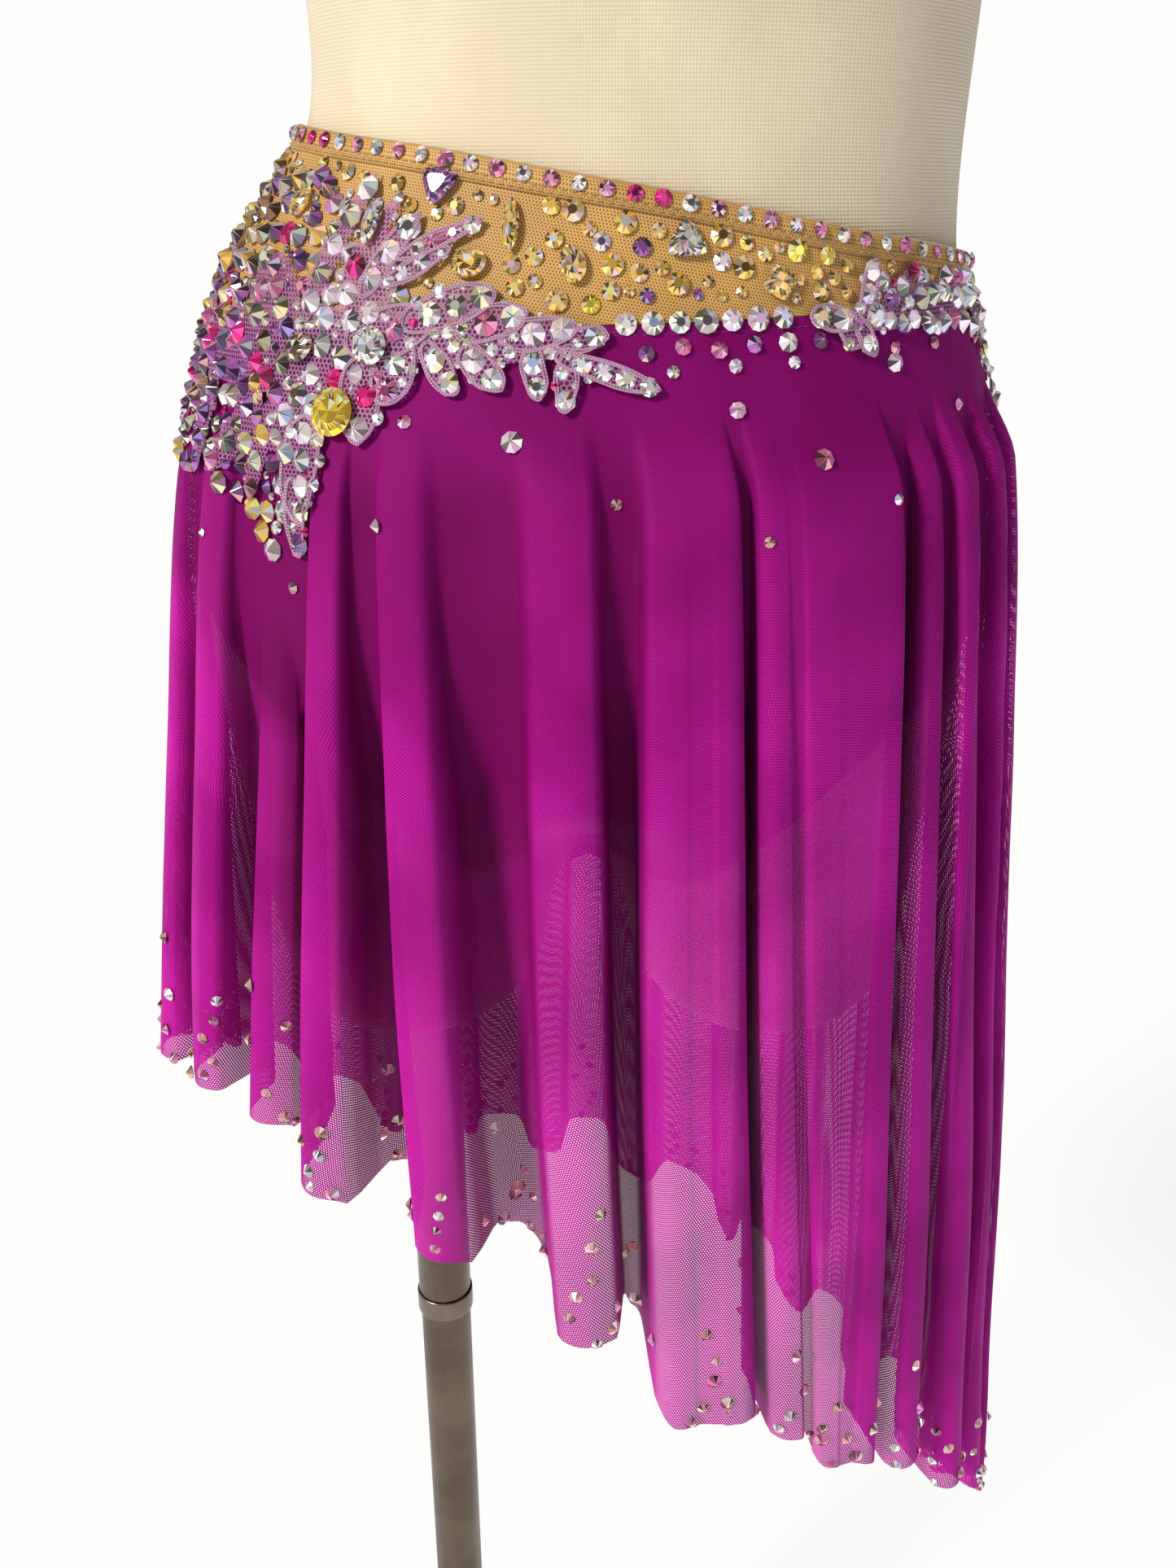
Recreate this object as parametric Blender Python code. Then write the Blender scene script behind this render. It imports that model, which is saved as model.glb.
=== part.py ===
"""A flared mesh dance skirt with a diagonal hem, worn by a dress form on a pole.

The front faces -Y and the floor is z = 0. Places on the body are given by an angle round it
(0 at the front, +90 at +X, 180 at the back, in degrees) and a drop below the waist, in metres.
"""

import bpy
import bmesh
from math import atan2, ceil, cos, degrees, exp, floor, pi, radians, sin
from mathutils import Vector
from mathutils.geometry import delaunay_2d_cdt

# Heights over the floor and along the body
waist_height = 1.05
saddle_drop = 0.264
stub_end_drop = 0.333
pole_ring_drop = 0.530

# Cloth: walls and the gaps between their layers
brief_lift = 0.0007
brief_wall = 0.0010
brief_ease = 0.0025
skirt_lift = 0.0023
skirt_wall = 0.0012
binding_height = 0.0075
binding_wall = 0.0018
binding_ease = 0.0002
applique_gap = 0.0011
applique_wall = 0.0013
stone_gap = 0.0004
piece_gap = 0.0003
side_reach = 0.13

# The stand: a pole of two tubes with a ring between them, a plate under the stub and a base
pole_x = -0.0745
upper_radius = 0.0133
lower_radius = 0.0127
ring_radius = 0.0142
ring_half = 0.006
ring_bevel = 0.001
socket_radius = 0.034
socket_gap = 0.0005
socket_thickness = 0.0035
base_radius = 0.165
base_thickness = 0.009
base_bevel = 0.002
hub_radius = 0.022
hub_foot = 0.034
hub_height = 0.016
cap_middle = (0.012, 0.005)
cap_profile = {
    "radius": (0.0, 0.050, 0.052, 0.048, 0.030, 0.0),
    "height": (0.0, 0.0, 0.004, 0.012, 0.018, 0.020),
}
turned_sides = 24
base_sides = 36

# The form's own sections: reach to -X, +X, -Y and +Y at each drop
body_sections = {
    "drop":  (-0.460, -0.420, -0.395, -0.370, -0.330, -0.290, -0.240, -0.180, -0.120, -0.060,
              -0.030, -0.015, 0.001, 0.018, 0.036, 0.054, 0.072, 0.100, 0.140, 0.170,
              0.205, 0.235, 0.262),
    "left":  (0.046, 0.047, 0.060, 0.102, 0.140, 0.139, 0.127, 0.114, 0.105, 0.0995,
              0.0995, 0.104, 0.1145, 0.127, 0.136, 0.143, 0.148, 0.153, 0.157, 0.157,
              0.154, 0.150, 0.146),
    "right": (0.070, 0.071, 0.084, 0.126, 0.164, 0.161, 0.151, 0.144, 0.141, 0.139,
              0.1375, 0.137, 0.137, 0.138, 0.141, 0.146, 0.150, 0.154, 0.157, 0.157,
              0.154, 0.150, 0.146),
    "front": (0.042, 0.043, 0.046, 0.056, 0.078, 0.101, 0.118, 0.104, 0.089, 0.083,
              0.083, 0.084, 0.086, 0.090, 0.095, 0.100, 0.104, 0.108, 0.110, 0.108,
              0.102, 0.094, 0.086),
    "back":  (0.052, 0.053, 0.060, 0.076, 0.090, 0.092, 0.086, 0.080, 0.076, 0.076,
              0.077, 0.079, 0.082, 0.087, 0.093, 0.100, 0.106, 0.114, 0.120, 0.119,
              0.112, 0.103, 0.095),
}

# Between the legs the front and back draw in to a crease
crease_start = 0.205
crease_end = 0.268
crease_width = 0.030

# The two short leg stubs: reach of each ring about the stub's middle line
stub_middle = 0.078
stub_rings = {
    "drop":   (0.280, 0.298, 0.314, 0.325, 0.331),
    "side":   (0.0640, 0.0605, 0.0585, 0.0540, 0.0440),
    "depth":  (0.0820, 0.0790, 0.0760, 0.0710, 0.0590),
}

# The slanting top edge: the drop of the yoke's top, round the body
top_edge = {
    "angle": (-180, -135, -90, -45, 0, 45, 90, 135, 180),
    "drop":  (0.003, -0.009, -0.021, -0.015, -0.002, 0.014, 0.022, 0.014, 0.003),
}

# The seam between yoke and skirt
seam_line = {
    "angle": (-180, -90, -30, 0, 30, 60, 90, 135, 180),
    "drop":  (0.040, 0.042, 0.041, 0.040, 0.038, 0.034, 0.033, 0.037, 0.040),
}

# The outside of the skirt where its folds crest
skirt_sections = {
    "drop":  (0.040, 0.094, 0.200, 0.300, 0.400, 0.500, 0.600, 0.700),
    "left":  (0.1400, 0.160, 0.177, 0.191, 0.202, 0.209, 0.214, 0.217),
    "right": (0.1440, 0.167, 0.179, 0.188, 0.198, 0.205, 0.213, 0.216),
    "front": (0.0990, 0.117, 0.134, 0.147, 0.156, 0.163, 0.170, 0.174),
    "back":  (0.0970, 0.125, 0.146, 0.160, 0.169, 0.176, 0.182, 0.186),
}
skirt_blend = 0.060

# The diagonal hem
hem_line = {
    "angle": (-180, -155, -135, -115, -90, -75, -60, -45, -30, -16, 0, 15, 30, 45, 60, 75,
              88, 105, 125, 145, 162, 180),
    "drop":  (0.530, 0.515, 0.470, 0.410, 0.368, 0.350, 0.343, 0.350, 0.365, 0.376, 0.408,
              0.452, 0.490, 0.525, 0.570, 0.616, 0.652, 0.665, 0.648, 0.602, 0.555, 0.530),
}

# Fold crests from the wearer's right side round the front: where each starts at the seam and
# ends at the hem, and the valley after it: its depth at the hem, the way it leans and how
# broad it is, from 0.2 for a narrow slot between wide folds to 0.8 for a wide flat valley
front_folds = {
    "seam":    (-90, -75, -60, -46, -33, -24, -6, 5, 12, 19, 24, 40, 45, 54, 65, 77, 90),
    "hem":     (-90, -77, -64, -49, -34.5, -17.5, 0, 11.5, 18.5, 24.5, 28.5, 36.5, 44, 54, 65,
                77, 90),
    "depth":   (0.024, 0.024, 0.028, 0.034, 0.042, 0.040, 0.038, 0.007, 0.038, 0.012, 0.005,
                0.034, 0.028, 0.024, 0.026, 0.026, 0.0),
    "lean":    (0.0, 0.1, 0.0, 0.0, 0.05, 0.0, 0.1, 0.0, 0.0, 0.1, 0.0, -0.2, -0.1, 0.0, 0.1,
                0.0, 0.0),
    "breadth": (0.5, 0.5, 0.55, 0.55, 0.65, 0.68, 0.6, 0.5, 0.45, 0.5, 0.5, 0.4, 0.35, 0.5,
                0.5, 0.55, 0.5),
}
back_folds = {
    "seam":    (90, 103, 118, 131, 147, 164, 178, 194, 209, 222, 238, 254, 270),
    "hem":     (90, 104, 116, 133, 149, 162, 180, 196, 207, 224, 240, 253, 270),
    "depth":   (0.028, 0.022, 0.036, 0.034, 0.026, 0.040, 0.036, 0.020, 0.038, 0.032, 0.026,
                0.028, 0.0),
    "lean":    (0.0, 0.1, -0.1, 0.0, 0.15, -0.1, 0.1, 0.0, -0.15, 0.1, 0.0, 0.1, 0.0),
    "breadth": (0.5, 0.45, 0.65, 0.6, 0.5, 0.68, 0.6, 0.5, 0.65, 0.6, 0.5, 0.55, 0.5),
}
fold_roll = 0.10
fold_slope = 0.45
fold_steps = (0.0, 0.12, 0.26, 0.42, 0.58, 0.74, 0.88)
flare_rows = (0.0, 0.014, 0.030, 0.055, 0.092)
hang_rows = (0.23, 0.47, 0.73, 1.0)

# The brief's leg line: its drop round the body
leg_line = {
    "angle": (-180, -172, -166, -150, -120, -90, -60, -40, -25, -15, -8, 0, 8, 15, 25, 40, 60,
              90, 120, 150, 166, 172, 180),
    "drop":  (0.2615, 0.2610, 0.250, 0.232, 0.180, 0.130, 0.158, 0.188, 0.220, 0.246, 0.2610,
              0.2615, 0.2610, 0.248, 0.226, 0.198, 0.172, 0.146, 0.190, 0.236, 0.250, 0.2610,
              0.2615),
}
brief_top = 0.002
brief_margin = 0.003
leg_step = 4
gusset_half = 0.010
gusset_reach = 0.011
gusset_gap = 0.0006
gusset_wall = 0.0015

# Lace leaves: root and tip as angle and drop, and the widest width
right_hip_leaves = {
    "root_angle": (-116, -72, -34, -42, -36, -33, -29, -30, -26, -18, -12, -5, -5, -3, -8, -17,
                   -22, -25, -31, -39, -40, -46, -35, -43, -46, -37, -34, -60, -62, -66, -74,
                   -78, -84, -92, -96, -104, -108, -52, -48),
    "root_drop":  (0.058, 0.052, 0.046, 0.040, 0.034, 0.034, 0.022, 0.030, 0.041, 0.043, 0.045,
                   0.046, 0.049, 0.046, 0.046, 0.047, 0.046, 0.044, 0.050, 0.070, 0.090, 0.066,
                   0.046, 0.050, 0.062, 0.050, 0.047, 0.040, 0.060, 0.052, 0.046, 0.060, 0.052,
                   0.050, 0.062, 0.052, 0.058, 0.050, 0.066),
    "tip_angle":  (-60, -30, 0, -39.5, -33, -28, -18, -21, -13, -8.5, -2, 2, 8.5, -3.5, -6.5,
                   -11, -17, -27, -30, -38, -38, -48, -29, -54, -62, -46, -21, -50, -66, -82,
                   -72, -88, -80, -104, -100, -116, -112, -56, -58),
    "tip_drop":   (0.050, 0.045, 0.046, -0.004, 0.003, 0.008, 0.010, 0.018, 0.031, 0.037, 0.041,
                   0.043, 0.060, 0.067, 0.063, 0.060, 0.062, 0.066, 0.078, 0.106, 0.117, 0.100,
                   0.022, 0.022, 0.040, 0.082, 0.040, 0.074, 0.096, 0.050, 0.012, 0.086, 0.020,
                   0.040, 0.094, 0.052, 0.076, 0.020, 0.092),
    "width":      (0.020, 0.028, 0.013, 0.011, 0.011, 0.010, 0.0065, 0.007, 0.013, 0.0115,
                   0.0105, 0.008, 0.0075, 0.0075, 0.008, 0.010, 0.009, 0.016, 0.016, 0.018,
                   0.0095, 0.010, 0.018, 0.019, 0.020, 0.022, 0.017, 0.018, 0.014, 0.020, 0.012,
                   0.013, 0.012, 0.012, 0.012, 0.011, 0.010, 0.013, 0.014),
}
left_hip_leaves = {
    "root_angle": (31, 38, 41, 37, 37, 43, 46, 56, 34, 66, 76, 84, 92, 98, 104, 110, 74, 90,
                   102),
    "root_drop":  (0.041, 0.042, 0.039, 0.041, 0.040, 0.038, 0.036, 0.035, 0.041, 0.034, 0.038,
                   0.046, 0.056, 0.068, 0.080, 0.088, 0.040, 0.056, 0.074),
    "tip_angle":  (70, 41, 51, 29, 39.5, 48, 60, 72, 37, 80, 88, 97, 102, 108, 113, 116, 78, 84,
                   96),
    "tip_drop":   (0.036, 0.021, 0.024, 0.038, 0.052, 0.044, 0.032, 0.036, 0.049, 0.044, 0.050,
                   0.062, 0.074, 0.084, 0.094, 0.108, 0.058, 0.074, 0.090),
    "width":      (0.010, 0.008, 0.008, 0.009, 0.008, 0.008, 0.010, 0.010, 0.008, 0.011, 0.012,
                   0.013, 0.014, 0.013, 0.012, 0.009, 0.008, 0.008, 0.008),
}
metres_per_degree = 0.0024
leaf_form = {
    "share": (0.0, 0.14, 0.40, 0.70, 0.92, 1.0),
    "half":  (0.0, 0.62, 0.95, 1.0, 0.66, 0.0),
}
applique_grid = 0.0060

# Large sew-on stones: place, size, turn and the number of sides of their outline
large_stones = {
    "name":   ("triangle_top", "navette_yoke", "pear_low", "pear_middle", "triangle_middle",
               "square", "pear_gold", "navette_lace", "pear_lace", "round_lace", "drop_lace"),
    "angle":  (-27.7, -14.0, -18.4, -3.8, 10.7, 24.7, -54.6, -35.0, -41.6, -29.5, -34.0),
    "drop":   (-0.001, 0.011, 0.0225, 0.023, 0.0155, 0.028, 0.006, 0.012, 0.050, 0.048, 0.069),
    "length": (0.0125, 0.0150, 0.0125, 0.0115, 0.0130, 0.0105, 0.0120, 0.0140, 0.0130, 0.0110,
               0.0150),
    "width":  (0.0115, 0.0070, 0.0100, 0.0085, 0.0105, 0.0095, 0.0085, 0.0070, 0.0100, 0.0110,
               0.0150),
    "turn":   (20, 90, 10, 100, -10, 10, 60, 80, 25, 0, 0),
    "corners": (3, 2, 1, 1, 3, 4, 1, 2, 1, 12, 12),
    "on":     ("yoke", "yoke", "yoke", "yoke", "yoke", "yoke", "yoke", "lace", "lace", "lace",
               "lace"),
}
stone_height = 0.0028
stone_sides = 12
stone_cut = {1: 0.27, 2: 0.34, 3: 0.34, 4: 0.22, 12: 0.0}
stone_form = {"rise": (0.0, 0.35, 1.0), "size": (0.90, 1.0, 0.52)}
stone_bed = 0.12

colours = {
    "mesh":     ((0.33, 0.010, 0.27), 0.55, 0.0),
    "tan_mesh": ((0.60, 0.37, 0.15), 0.60, 0.0),
    "brief":    ((0.17, 0.004, 0.12), 0.60, 0.0),
    "lace":     ((0.50, 0.20, 0.45), 0.45, 0.0),
    "crystal":  ((0.80, 0.72, 0.78), 0.08, 0.0),
    "jersey":   ((0.86, 0.79, 0.66), 0.85, 0.0),
    "metal":    ((0.25, 0.21, 0.17), 0.35, 1.0),
    "wood":     ((0.45, 0.27, 0.13), 0.50, 0.0),
}


def smooth_value(xs, ys, x):
    """A smooth curve through a table's points that never swings past them."""
    if x <= xs[0]:
        return ys[0]
    if x >= xs[-1]:
        return ys[-1]
    i = max(k for k in range(len(xs) - 1) if xs[k] <= x)

    def slope(k):
        if k == 0 or k == len(xs) - 1:
            return 0.0
        before = (ys[k] - ys[k - 1]) / (xs[k] - xs[k - 1])
        after = (ys[k + 1] - ys[k]) / (xs[k + 1] - xs[k])
        return 0.0 if before * after <= 0 else 2 * before * after / (before + after)

    width = xs[i + 1] - xs[i]
    t = (x - xs[i]) / width
    a, b = slope(i) * width, slope(i + 1) * width
    return (ys[i] * (1 + 2 * t) * (1 - t) ** 2 + a * t * (1 - t) ** 2
            + ys[i + 1] * t * t * (3 - 2 * t) - b * t * t * (1 - t))


def ease(t):
    t = min(max(t, 0.0), 1.0)
    return t * t * (3 - 2 * t)


def turn_in_range(angle):
    """The same angle between -180 and 180."""
    return (angle + 180) % 360 - 180


def round_line(table, angle):
    return smooth_value(table["angle"], table["drop"], turn_in_range(angle))


def section_point(table, angle, drop):
    left, right, front, back = (
        smooth_value(table["drop"], table[side], drop)
        for side in ("left", "right", "front", "back")
    )
    a = radians(angle)
    x = (right - left) / 2 + (right + left) / 2 * sin(a)
    y = -cos(a) * (front if cos(a) > 0 else back)
    return x, y


def body_point(angle, drop):
    x, y = section_point(body_sections, angle, drop)
    crease = ease((drop - crease_start) / (crease_end - crease_start))
    y *= 1 - crease * exp(-(x / crease_width) ** 2)
    return Vector((x, y, waist_height - drop))


def lifted(surface, angle, drop, lift):
    """A surface's point moved out along its normal."""
    here = surface(angle, drop)
    round_it = surface(angle + 0.2, drop) - surface(angle - 0.2, drop)
    down_it = surface(angle, drop + 0.0005) - surface(angle, drop - 0.0005)
    return here + down_it.cross(round_it).normalized() * lift


def fold_here(angle, down):
    """How far from crest to crest this angle lies, its share of the valley, and the depth."""
    table, full = front_folds, angle % 360
    if 90 < full < 270:
        table, angle = back_folds, full
    else:
        angle = turn_in_range(angle)
    crests = [s + (h - s) * down for s, h in zip(table["seam"], table["hem"])]
    k = max(i for i in range(len(crests) - 1) if crests[i] <= angle or i == 0)
    share = (angle - crests[k]) / (crests[k + 1] - crests[k])
    share += table["lean"][k] * sin(pi * share) ** 2
    middle = 1 - table["breadth"][k]
    slope = min(middle, 1 - middle, fold_slope)
    valley = ease((sin(pi * share) ** 2 - middle + slope) / (2 * slope))
    return share, valley, table["depth"][k]


def skirt_point(angle, drop):
    """The inside of the skirt's wall, or of the yoke's above the seam."""
    close = lifted(body_point, angle, drop, skirt_lift)
    seam = round_line(seam_line, angle)
    if drop <= seam:
        return close
    x, y = section_point(skirt_sections, angle, drop)
    crest = Vector((x, y, close.z))
    full = ease((drop - seam) / skirt_blend)
    here = close.lerp(crest, full)
    room = max((here - close).length - skirt_wall, 0.0)
    down = min((drop - seam) / (round_line(hem_line, angle) - seam), 1.1)
    share, valley, depth = fold_here(angle, min(down, 1.0))
    depth = min(depth * down ** 0.9 * ease(down / 0.2), room)
    outward = Vector((x, y * 1.4, 0.0)).normalized()
    along = Vector((-outward.y, outward.x, 0.0))
    here -= outward * depth * valley
    here += along * depth * fold_roll * sin(2 * pi * share)
    return here


def material(name):
    colour, roughness, metallic = colours[name]
    made = bpy.data.materials.get(name)
    if made:
        return made
    made = bpy.data.materials.new(name)
    made.use_nodes = True
    shader = made.node_tree.nodes["Principled BSDF"]
    shader.inputs["Base Color"].default_value = (*colour, 1.0)
    shader.inputs["Roughness"].default_value = roughness
    shader.inputs["Metallic"].default_value = metallic
    made.diffuse_color = (*colour, 1.0)
    return made


def finish(name, points, faces, look, crease=40):
    """An object from points and faces, with its faces turned outward."""
    mesh = bpy.data.meshes.new(name)
    mesh.from_pydata([tuple(p) for p in points], [], faces)
    work = bmesh.new()
    work.from_mesh(mesh)
    bmesh.ops.recalc_face_normals(work, faces=work.faces)
    work.to_mesh(mesh)
    work.free()
    mesh.shade_smooth()
    mesh.set_sharp_from_angle(angle=radians(crease))
    thing = bpy.data.objects.new(name, mesh)
    thing.data.materials.append(material(look))
    bpy.context.scene.collection.objects.link(thing)
    return thing


def grid_wall(name, grid, surface, lifts, look, closed=False):
    """A closed wall over a grid of (angle, drop) places, rows by columns."""
    rows, columns = len(grid), len(grid[0])
    points = [lifted(surface, *place, lift) for lift in lifts for row in grid for place in row]
    at = lambda side, r, c: side * rows * columns + r * columns + c % columns
    spans = columns if closed else columns - 1
    faces = []
    for r in range(rows - 1):
        for c in range(spans):
            inner = [at(0, r, c), at(0, r, c + 1), at(0, r + 1, c + 1), at(0, r + 1, c)]
            faces += [inner, [i + rows * columns for i in reversed(inner)]]
    for r in (0, rows - 1):
        faces += [[at(0, r, c), at(0, r, c + 1), at(1, r, c + 1), at(1, r, c)]
                  for c in range(spans)]
    if not closed:
        for c in (0, columns - 1):
            faces += [[at(0, r, c), at(0, r + 1, c), at(1, r + 1, c), at(1, r, c)]
                      for r in range(rows - 1)]
    return finish(name, points, faces, look)


def is_inside(spot, outline):
    """True if a flat point lies within an outline."""
    within = False
    for k in range(len(outline)):
        (ax, ay), (bx, by) = outline[k - 1], outline[k]
        if (ay > spot[1]) != (by > spot[1]):
            within ^= spot[0] < ax + (bx - ax) * (spot[1] - ay) / (by - ay)
    return within


def rim_edges(triangles):
    """The directed edges that only one triangle has."""
    edges = {(t[k], t[k - 2]) for t in triangles for k in range(3)}
    return sorted(e for e in edges if e[::-1] not in edges)


def patch_wall(name, outlines, inner, surface, lifts, look):
    """A closed wall over the joined area of flat outlines, with inner points to bend it."""
    flat, rims = [], []
    for outline in outlines:
        rims.append(list(range(len(flat), len(flat) + len(outline))))
        flat += outline
    made = delaunay_2d_cdt([Vector(p) for p in flat], [], rims, 1, 1e-6)
    rim = rim_edges([t for t, owner in zip(made[2], made[5]) if owner])
    kept = sorted({i for e in rim for i in e})
    number = {i: k for k, i in enumerate(kept)}
    spots = [made[0][i] for i in kept] + [Vector(p) for p in inner]
    made = delaunay_2d_cdt(spots, [(number[a], number[b]) for a, b in rim], [], 0, 1e-6)
    spots, triangles = made[0], made[2]

    def kept_triangle(t):
        middle = sum((spots[i] for i in t), Vector((0.0, 0.0))) / 3
        return any(is_inside(middle, outline) for outline in outlines)

    triangles = [t for t in triangles if kept_triangle(t)]
    used = sorted({i for t in triangles for i in t})
    number = {i: k for k, i in enumerate(used)}
    triangles = [[number[i] for i in t] for t in triangles]
    places = [(spots[i].x / metres_per_degree, spots[i].y) for i in used]
    points = [lifted(surface, *place, lift) for lift in lifts for place in places]
    count = len(used)
    faces = [t[::-1] for t in triangles] + [[i + count for i in t] for t in triangles]
    faces += [[a, b, b + count, a + count] for a, b in rim_edges(triangles)]
    return finish(name, points, faces, look)


def turned(name, middle, profile, look, sides=turned_sides):
    """A solid turned round an upright line: (radius, height) pairs from bottom to top."""
    points, faces, rings = [], [], []
    x, y = middle
    for radius, height in profile:
        if radius == 0:
            rings.append([len(points)] * sides)
            points.append((x, y, height))
        else:
            rings.append(list(range(len(points), len(points) + sides)))
            points += [(x + radius * cos(2 * pi * k / sides),
                        y + radius * sin(2 * pi * k / sides), height) for k in range(sides)]
    for low, high in zip(rings, rings[1:]):
        for k in range(sides):
            corners = [low[k], low[k - 1], high[k - 1], high[k]]
            faces.append(list(dict.fromkeys(corners)))
    return finish(name, points, faces, look)


# Angles of the form's columns: close together where the crease is
quarter = (0, 4, 8, 12, 18, 26, 36, 48, 62, 76)
form_angles = (list(quarter) + [180 - a for a in (90,) + quarter[:0:-1]]
               + [180 + a for a in quarter] + [360 - a for a in (90,) + quarter[:0:-1]])
form_drops = (-0.460, -0.405, -0.370, -0.330, -0.285, -0.240, -0.180, -0.120, -0.060, -0.030,
              -0.010, 0.010, 0.030, 0.050, 0.080, 0.115, 0.150, 0.180, 0.205, 0.222, 0.236,
              0.248, 0.256, 0.262)


def build_form():
    """The torso, drawn in between the legs to a saddle, with two short leg stubs."""
    count, half = len(form_angles), len(form_angles) // 2
    points = [body_point(a, d) for d in form_drops for a in form_angles]
    faces = [list(range(count))]
    for r in range(len(form_drops) - 1):
        for c in range(count):
            here, after = r * count + c, r * count + (c + 1) % count
            faces.append([here, after, after + count, here + count])
    last = (len(form_drops) - 1) * count
    saddle = []
    for share in (0.25, 0.5, 0.75):
        spot = points[last + half].lerp(points[last], share)
        saddle.append(len(points))
        points.append(Vector((0.0, spot.y, waist_height - saddle_drop)))
    right = [last + k for k in range(half + 1)] + saddle
    left = [last + half + k for k in range(half)] + [last] + saddle[::-1]
    for side, loop in ((1, right), (-1, left)):
        middle = side * stub_middle
        wide, deep = stub_rings["side"][0], stub_rings["depth"][0]
        ways = [atan2(points[k].y / deep, (points[k].x - middle) / wide) for k in loop]
        for drop, wide, deep in zip(*stub_rings.values()):
            ring = list(range(len(points), len(points) + len(loop)))
            points += [Vector((middle + wide * cos(way), deep * sin(way), waist_height - drop))
                       for way in ways]
            faces += [[loop[k - 1], loop[k], ring[k], ring[k - 1]] for k in range(len(loop))]
            loop = ring
        faces.append(loop)
    return finish("form_body", points, faces, "jersey")


def seam_share():
    """Half the gap between two pieces at a side seam, as an angle."""
    return degrees(piece_gap / 2 / side_reach)


def skirt_panel(name, table):
    """Rows lie close together in the flare below the seam, and further apart where it hangs."""
    gap = seam_share()
    span = hem_line["drop"][0] - seam_line["drop"][0]
    grid = []
    for row_drop in flare_rows + hang_rows:
        flares = len(grid) < len(flare_rows)
        down = row_drop / span if flares else row_drop
        crests = [s + (h - s) * down for s, h in zip(table["seam"], table["hem"])]
        angles = [crest + (after - crest) * step
                  for crest, after in zip(crests, crests[1:]) for step in fold_steps]
        angles.append(crests[-1])
        angles[0] += gap
        angles[-1] -= gap
        row = []
        for angle in angles:
            top = round_line(seam_line, angle) + piece_gap / 2
            long = round_line(hem_line, angle) - top
            start = flare_rows[-1]
            reach = row_drop if flares else start + (long - start) * row_drop
            row.append((angle, top + reach))
        grid.append(row)
    return grid_wall(name, grid, skirt_point, (0.0, skirt_wall), "mesh")


def yoke_panel(name, start):
    gap = seam_share()
    columns = 30
    angles = [start + gap + (180 - 2 * gap) * k / columns for k in range(columns + 1)]
    grid = []
    for down in (0.0, 0.5, 1.0):
        row = []
        for a in angles:
            top = round_line(top_edge, a) + binding_height + piece_gap
            row.append((a, top + down * (round_line(seam_line, a) - piece_gap / 2 - top)))
        grid.append(row)
    return grid_wall(name, grid, skirt_point, (0.0, skirt_wall), "tan_mesh")


def waist_binding():
    """The folded edge, a little thicker than the yoke below it."""
    columns = 60
    angles = [360 * k / columns - 180 for k in range(columns)]
    grid = [[(a, round_line(top_edge, a) + share * binding_height) for a in angles]
            for share in (0.0, 1.0)]
    lifts = (-binding_ease, binding_wall)
    return grid_wall("waist_binding", grid, skirt_point, lifts, "tan_mesh", closed=True)


def brief_point(angle, drop):
    """The inside of the brief: just over the form, and looser in the crease."""
    loose = ease((drop - crease_start) / crease_width + 0.5)
    return lifted(body_point, angle, drop, brief_lift + brief_ease * loose)


def brief_panel(name, low, high):
    """From the hip seam to the leg line, its points over the form's own."""
    top = lambda a: round_line(seam_line, a) + brief_top
    turns = [a + whole for whole in (-360, 0) for a in form_angles if low < a + whole < high]
    ends = (low + seam_share(), high - seam_share())
    upper = [(a, top(a)) for a in (ends[0], *turns, ends[1])]
    lower = [(a, round_line(leg_line, a))
             for a in (ends[0], *range(low + leg_step, high, leg_step), ends[1])]
    between = lambda a: [(a, d) for d in form_drops
                         if top(a) + brief_margin < d < round_line(leg_line, a) - brief_margin]
    outline = upper + between(ends[1]) + lower[::-1] + between(ends[0])[::-1]
    inner = [place for a in turns for place in between(a)]
    flat = lambda places: [(a * metres_per_degree, d) for a, d in places]
    return patch_wall(name, [flat(outline)], flat(inner), brief_point, (0.0, brief_wall), "brief")


def brief_gusset():
    """The strip under the saddle, between the two legs."""
    slope = (stub_rings["drop"][0] - saddle_drop) / (stub_middle - stub_rings["side"][0])
    places = [(x, y) for y in (-gusset_reach, gusset_reach)
              for x in (-gusset_half, 0.0, gusset_half)]
    points = []
    for depth in (gusset_gap, gusset_gap + gusset_wall):
        points += [(x, y, waist_height - saddle_drop - abs(x) * slope - depth)
                   for x, y in places]
    quads = [(0, 1, 4, 3), (1, 2, 5, 4)]
    faces = [list(q) for q in quads] + [[i + 6 for i in reversed(q)] for q in quads]
    rim = (0, 1, 2, 5, 4, 3)
    faces += [[rim[k], rim[k - 1], rim[k - 1] + 6, rim[k] + 6] for k in range(6)]
    return finish("brief_gusset", points, faces, "brief")


def leaf_outline(root, tip, width):
    """A blunt leaf between two flat points, fullest past its middle."""
    way = Vector(tip) - Vector(root)
    side = Vector((-way.y, way.x)).normalized() * width / 2
    shares = list(zip(leaf_form["share"], leaf_form["half"]))
    one = [Vector(root) + way * s + side * half for s, half in shares]
    other = [Vector(root) + way * s - side * half for s, half in shares[1:-1]]
    return [tuple(p) for p in one + other[::-1]]


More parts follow.
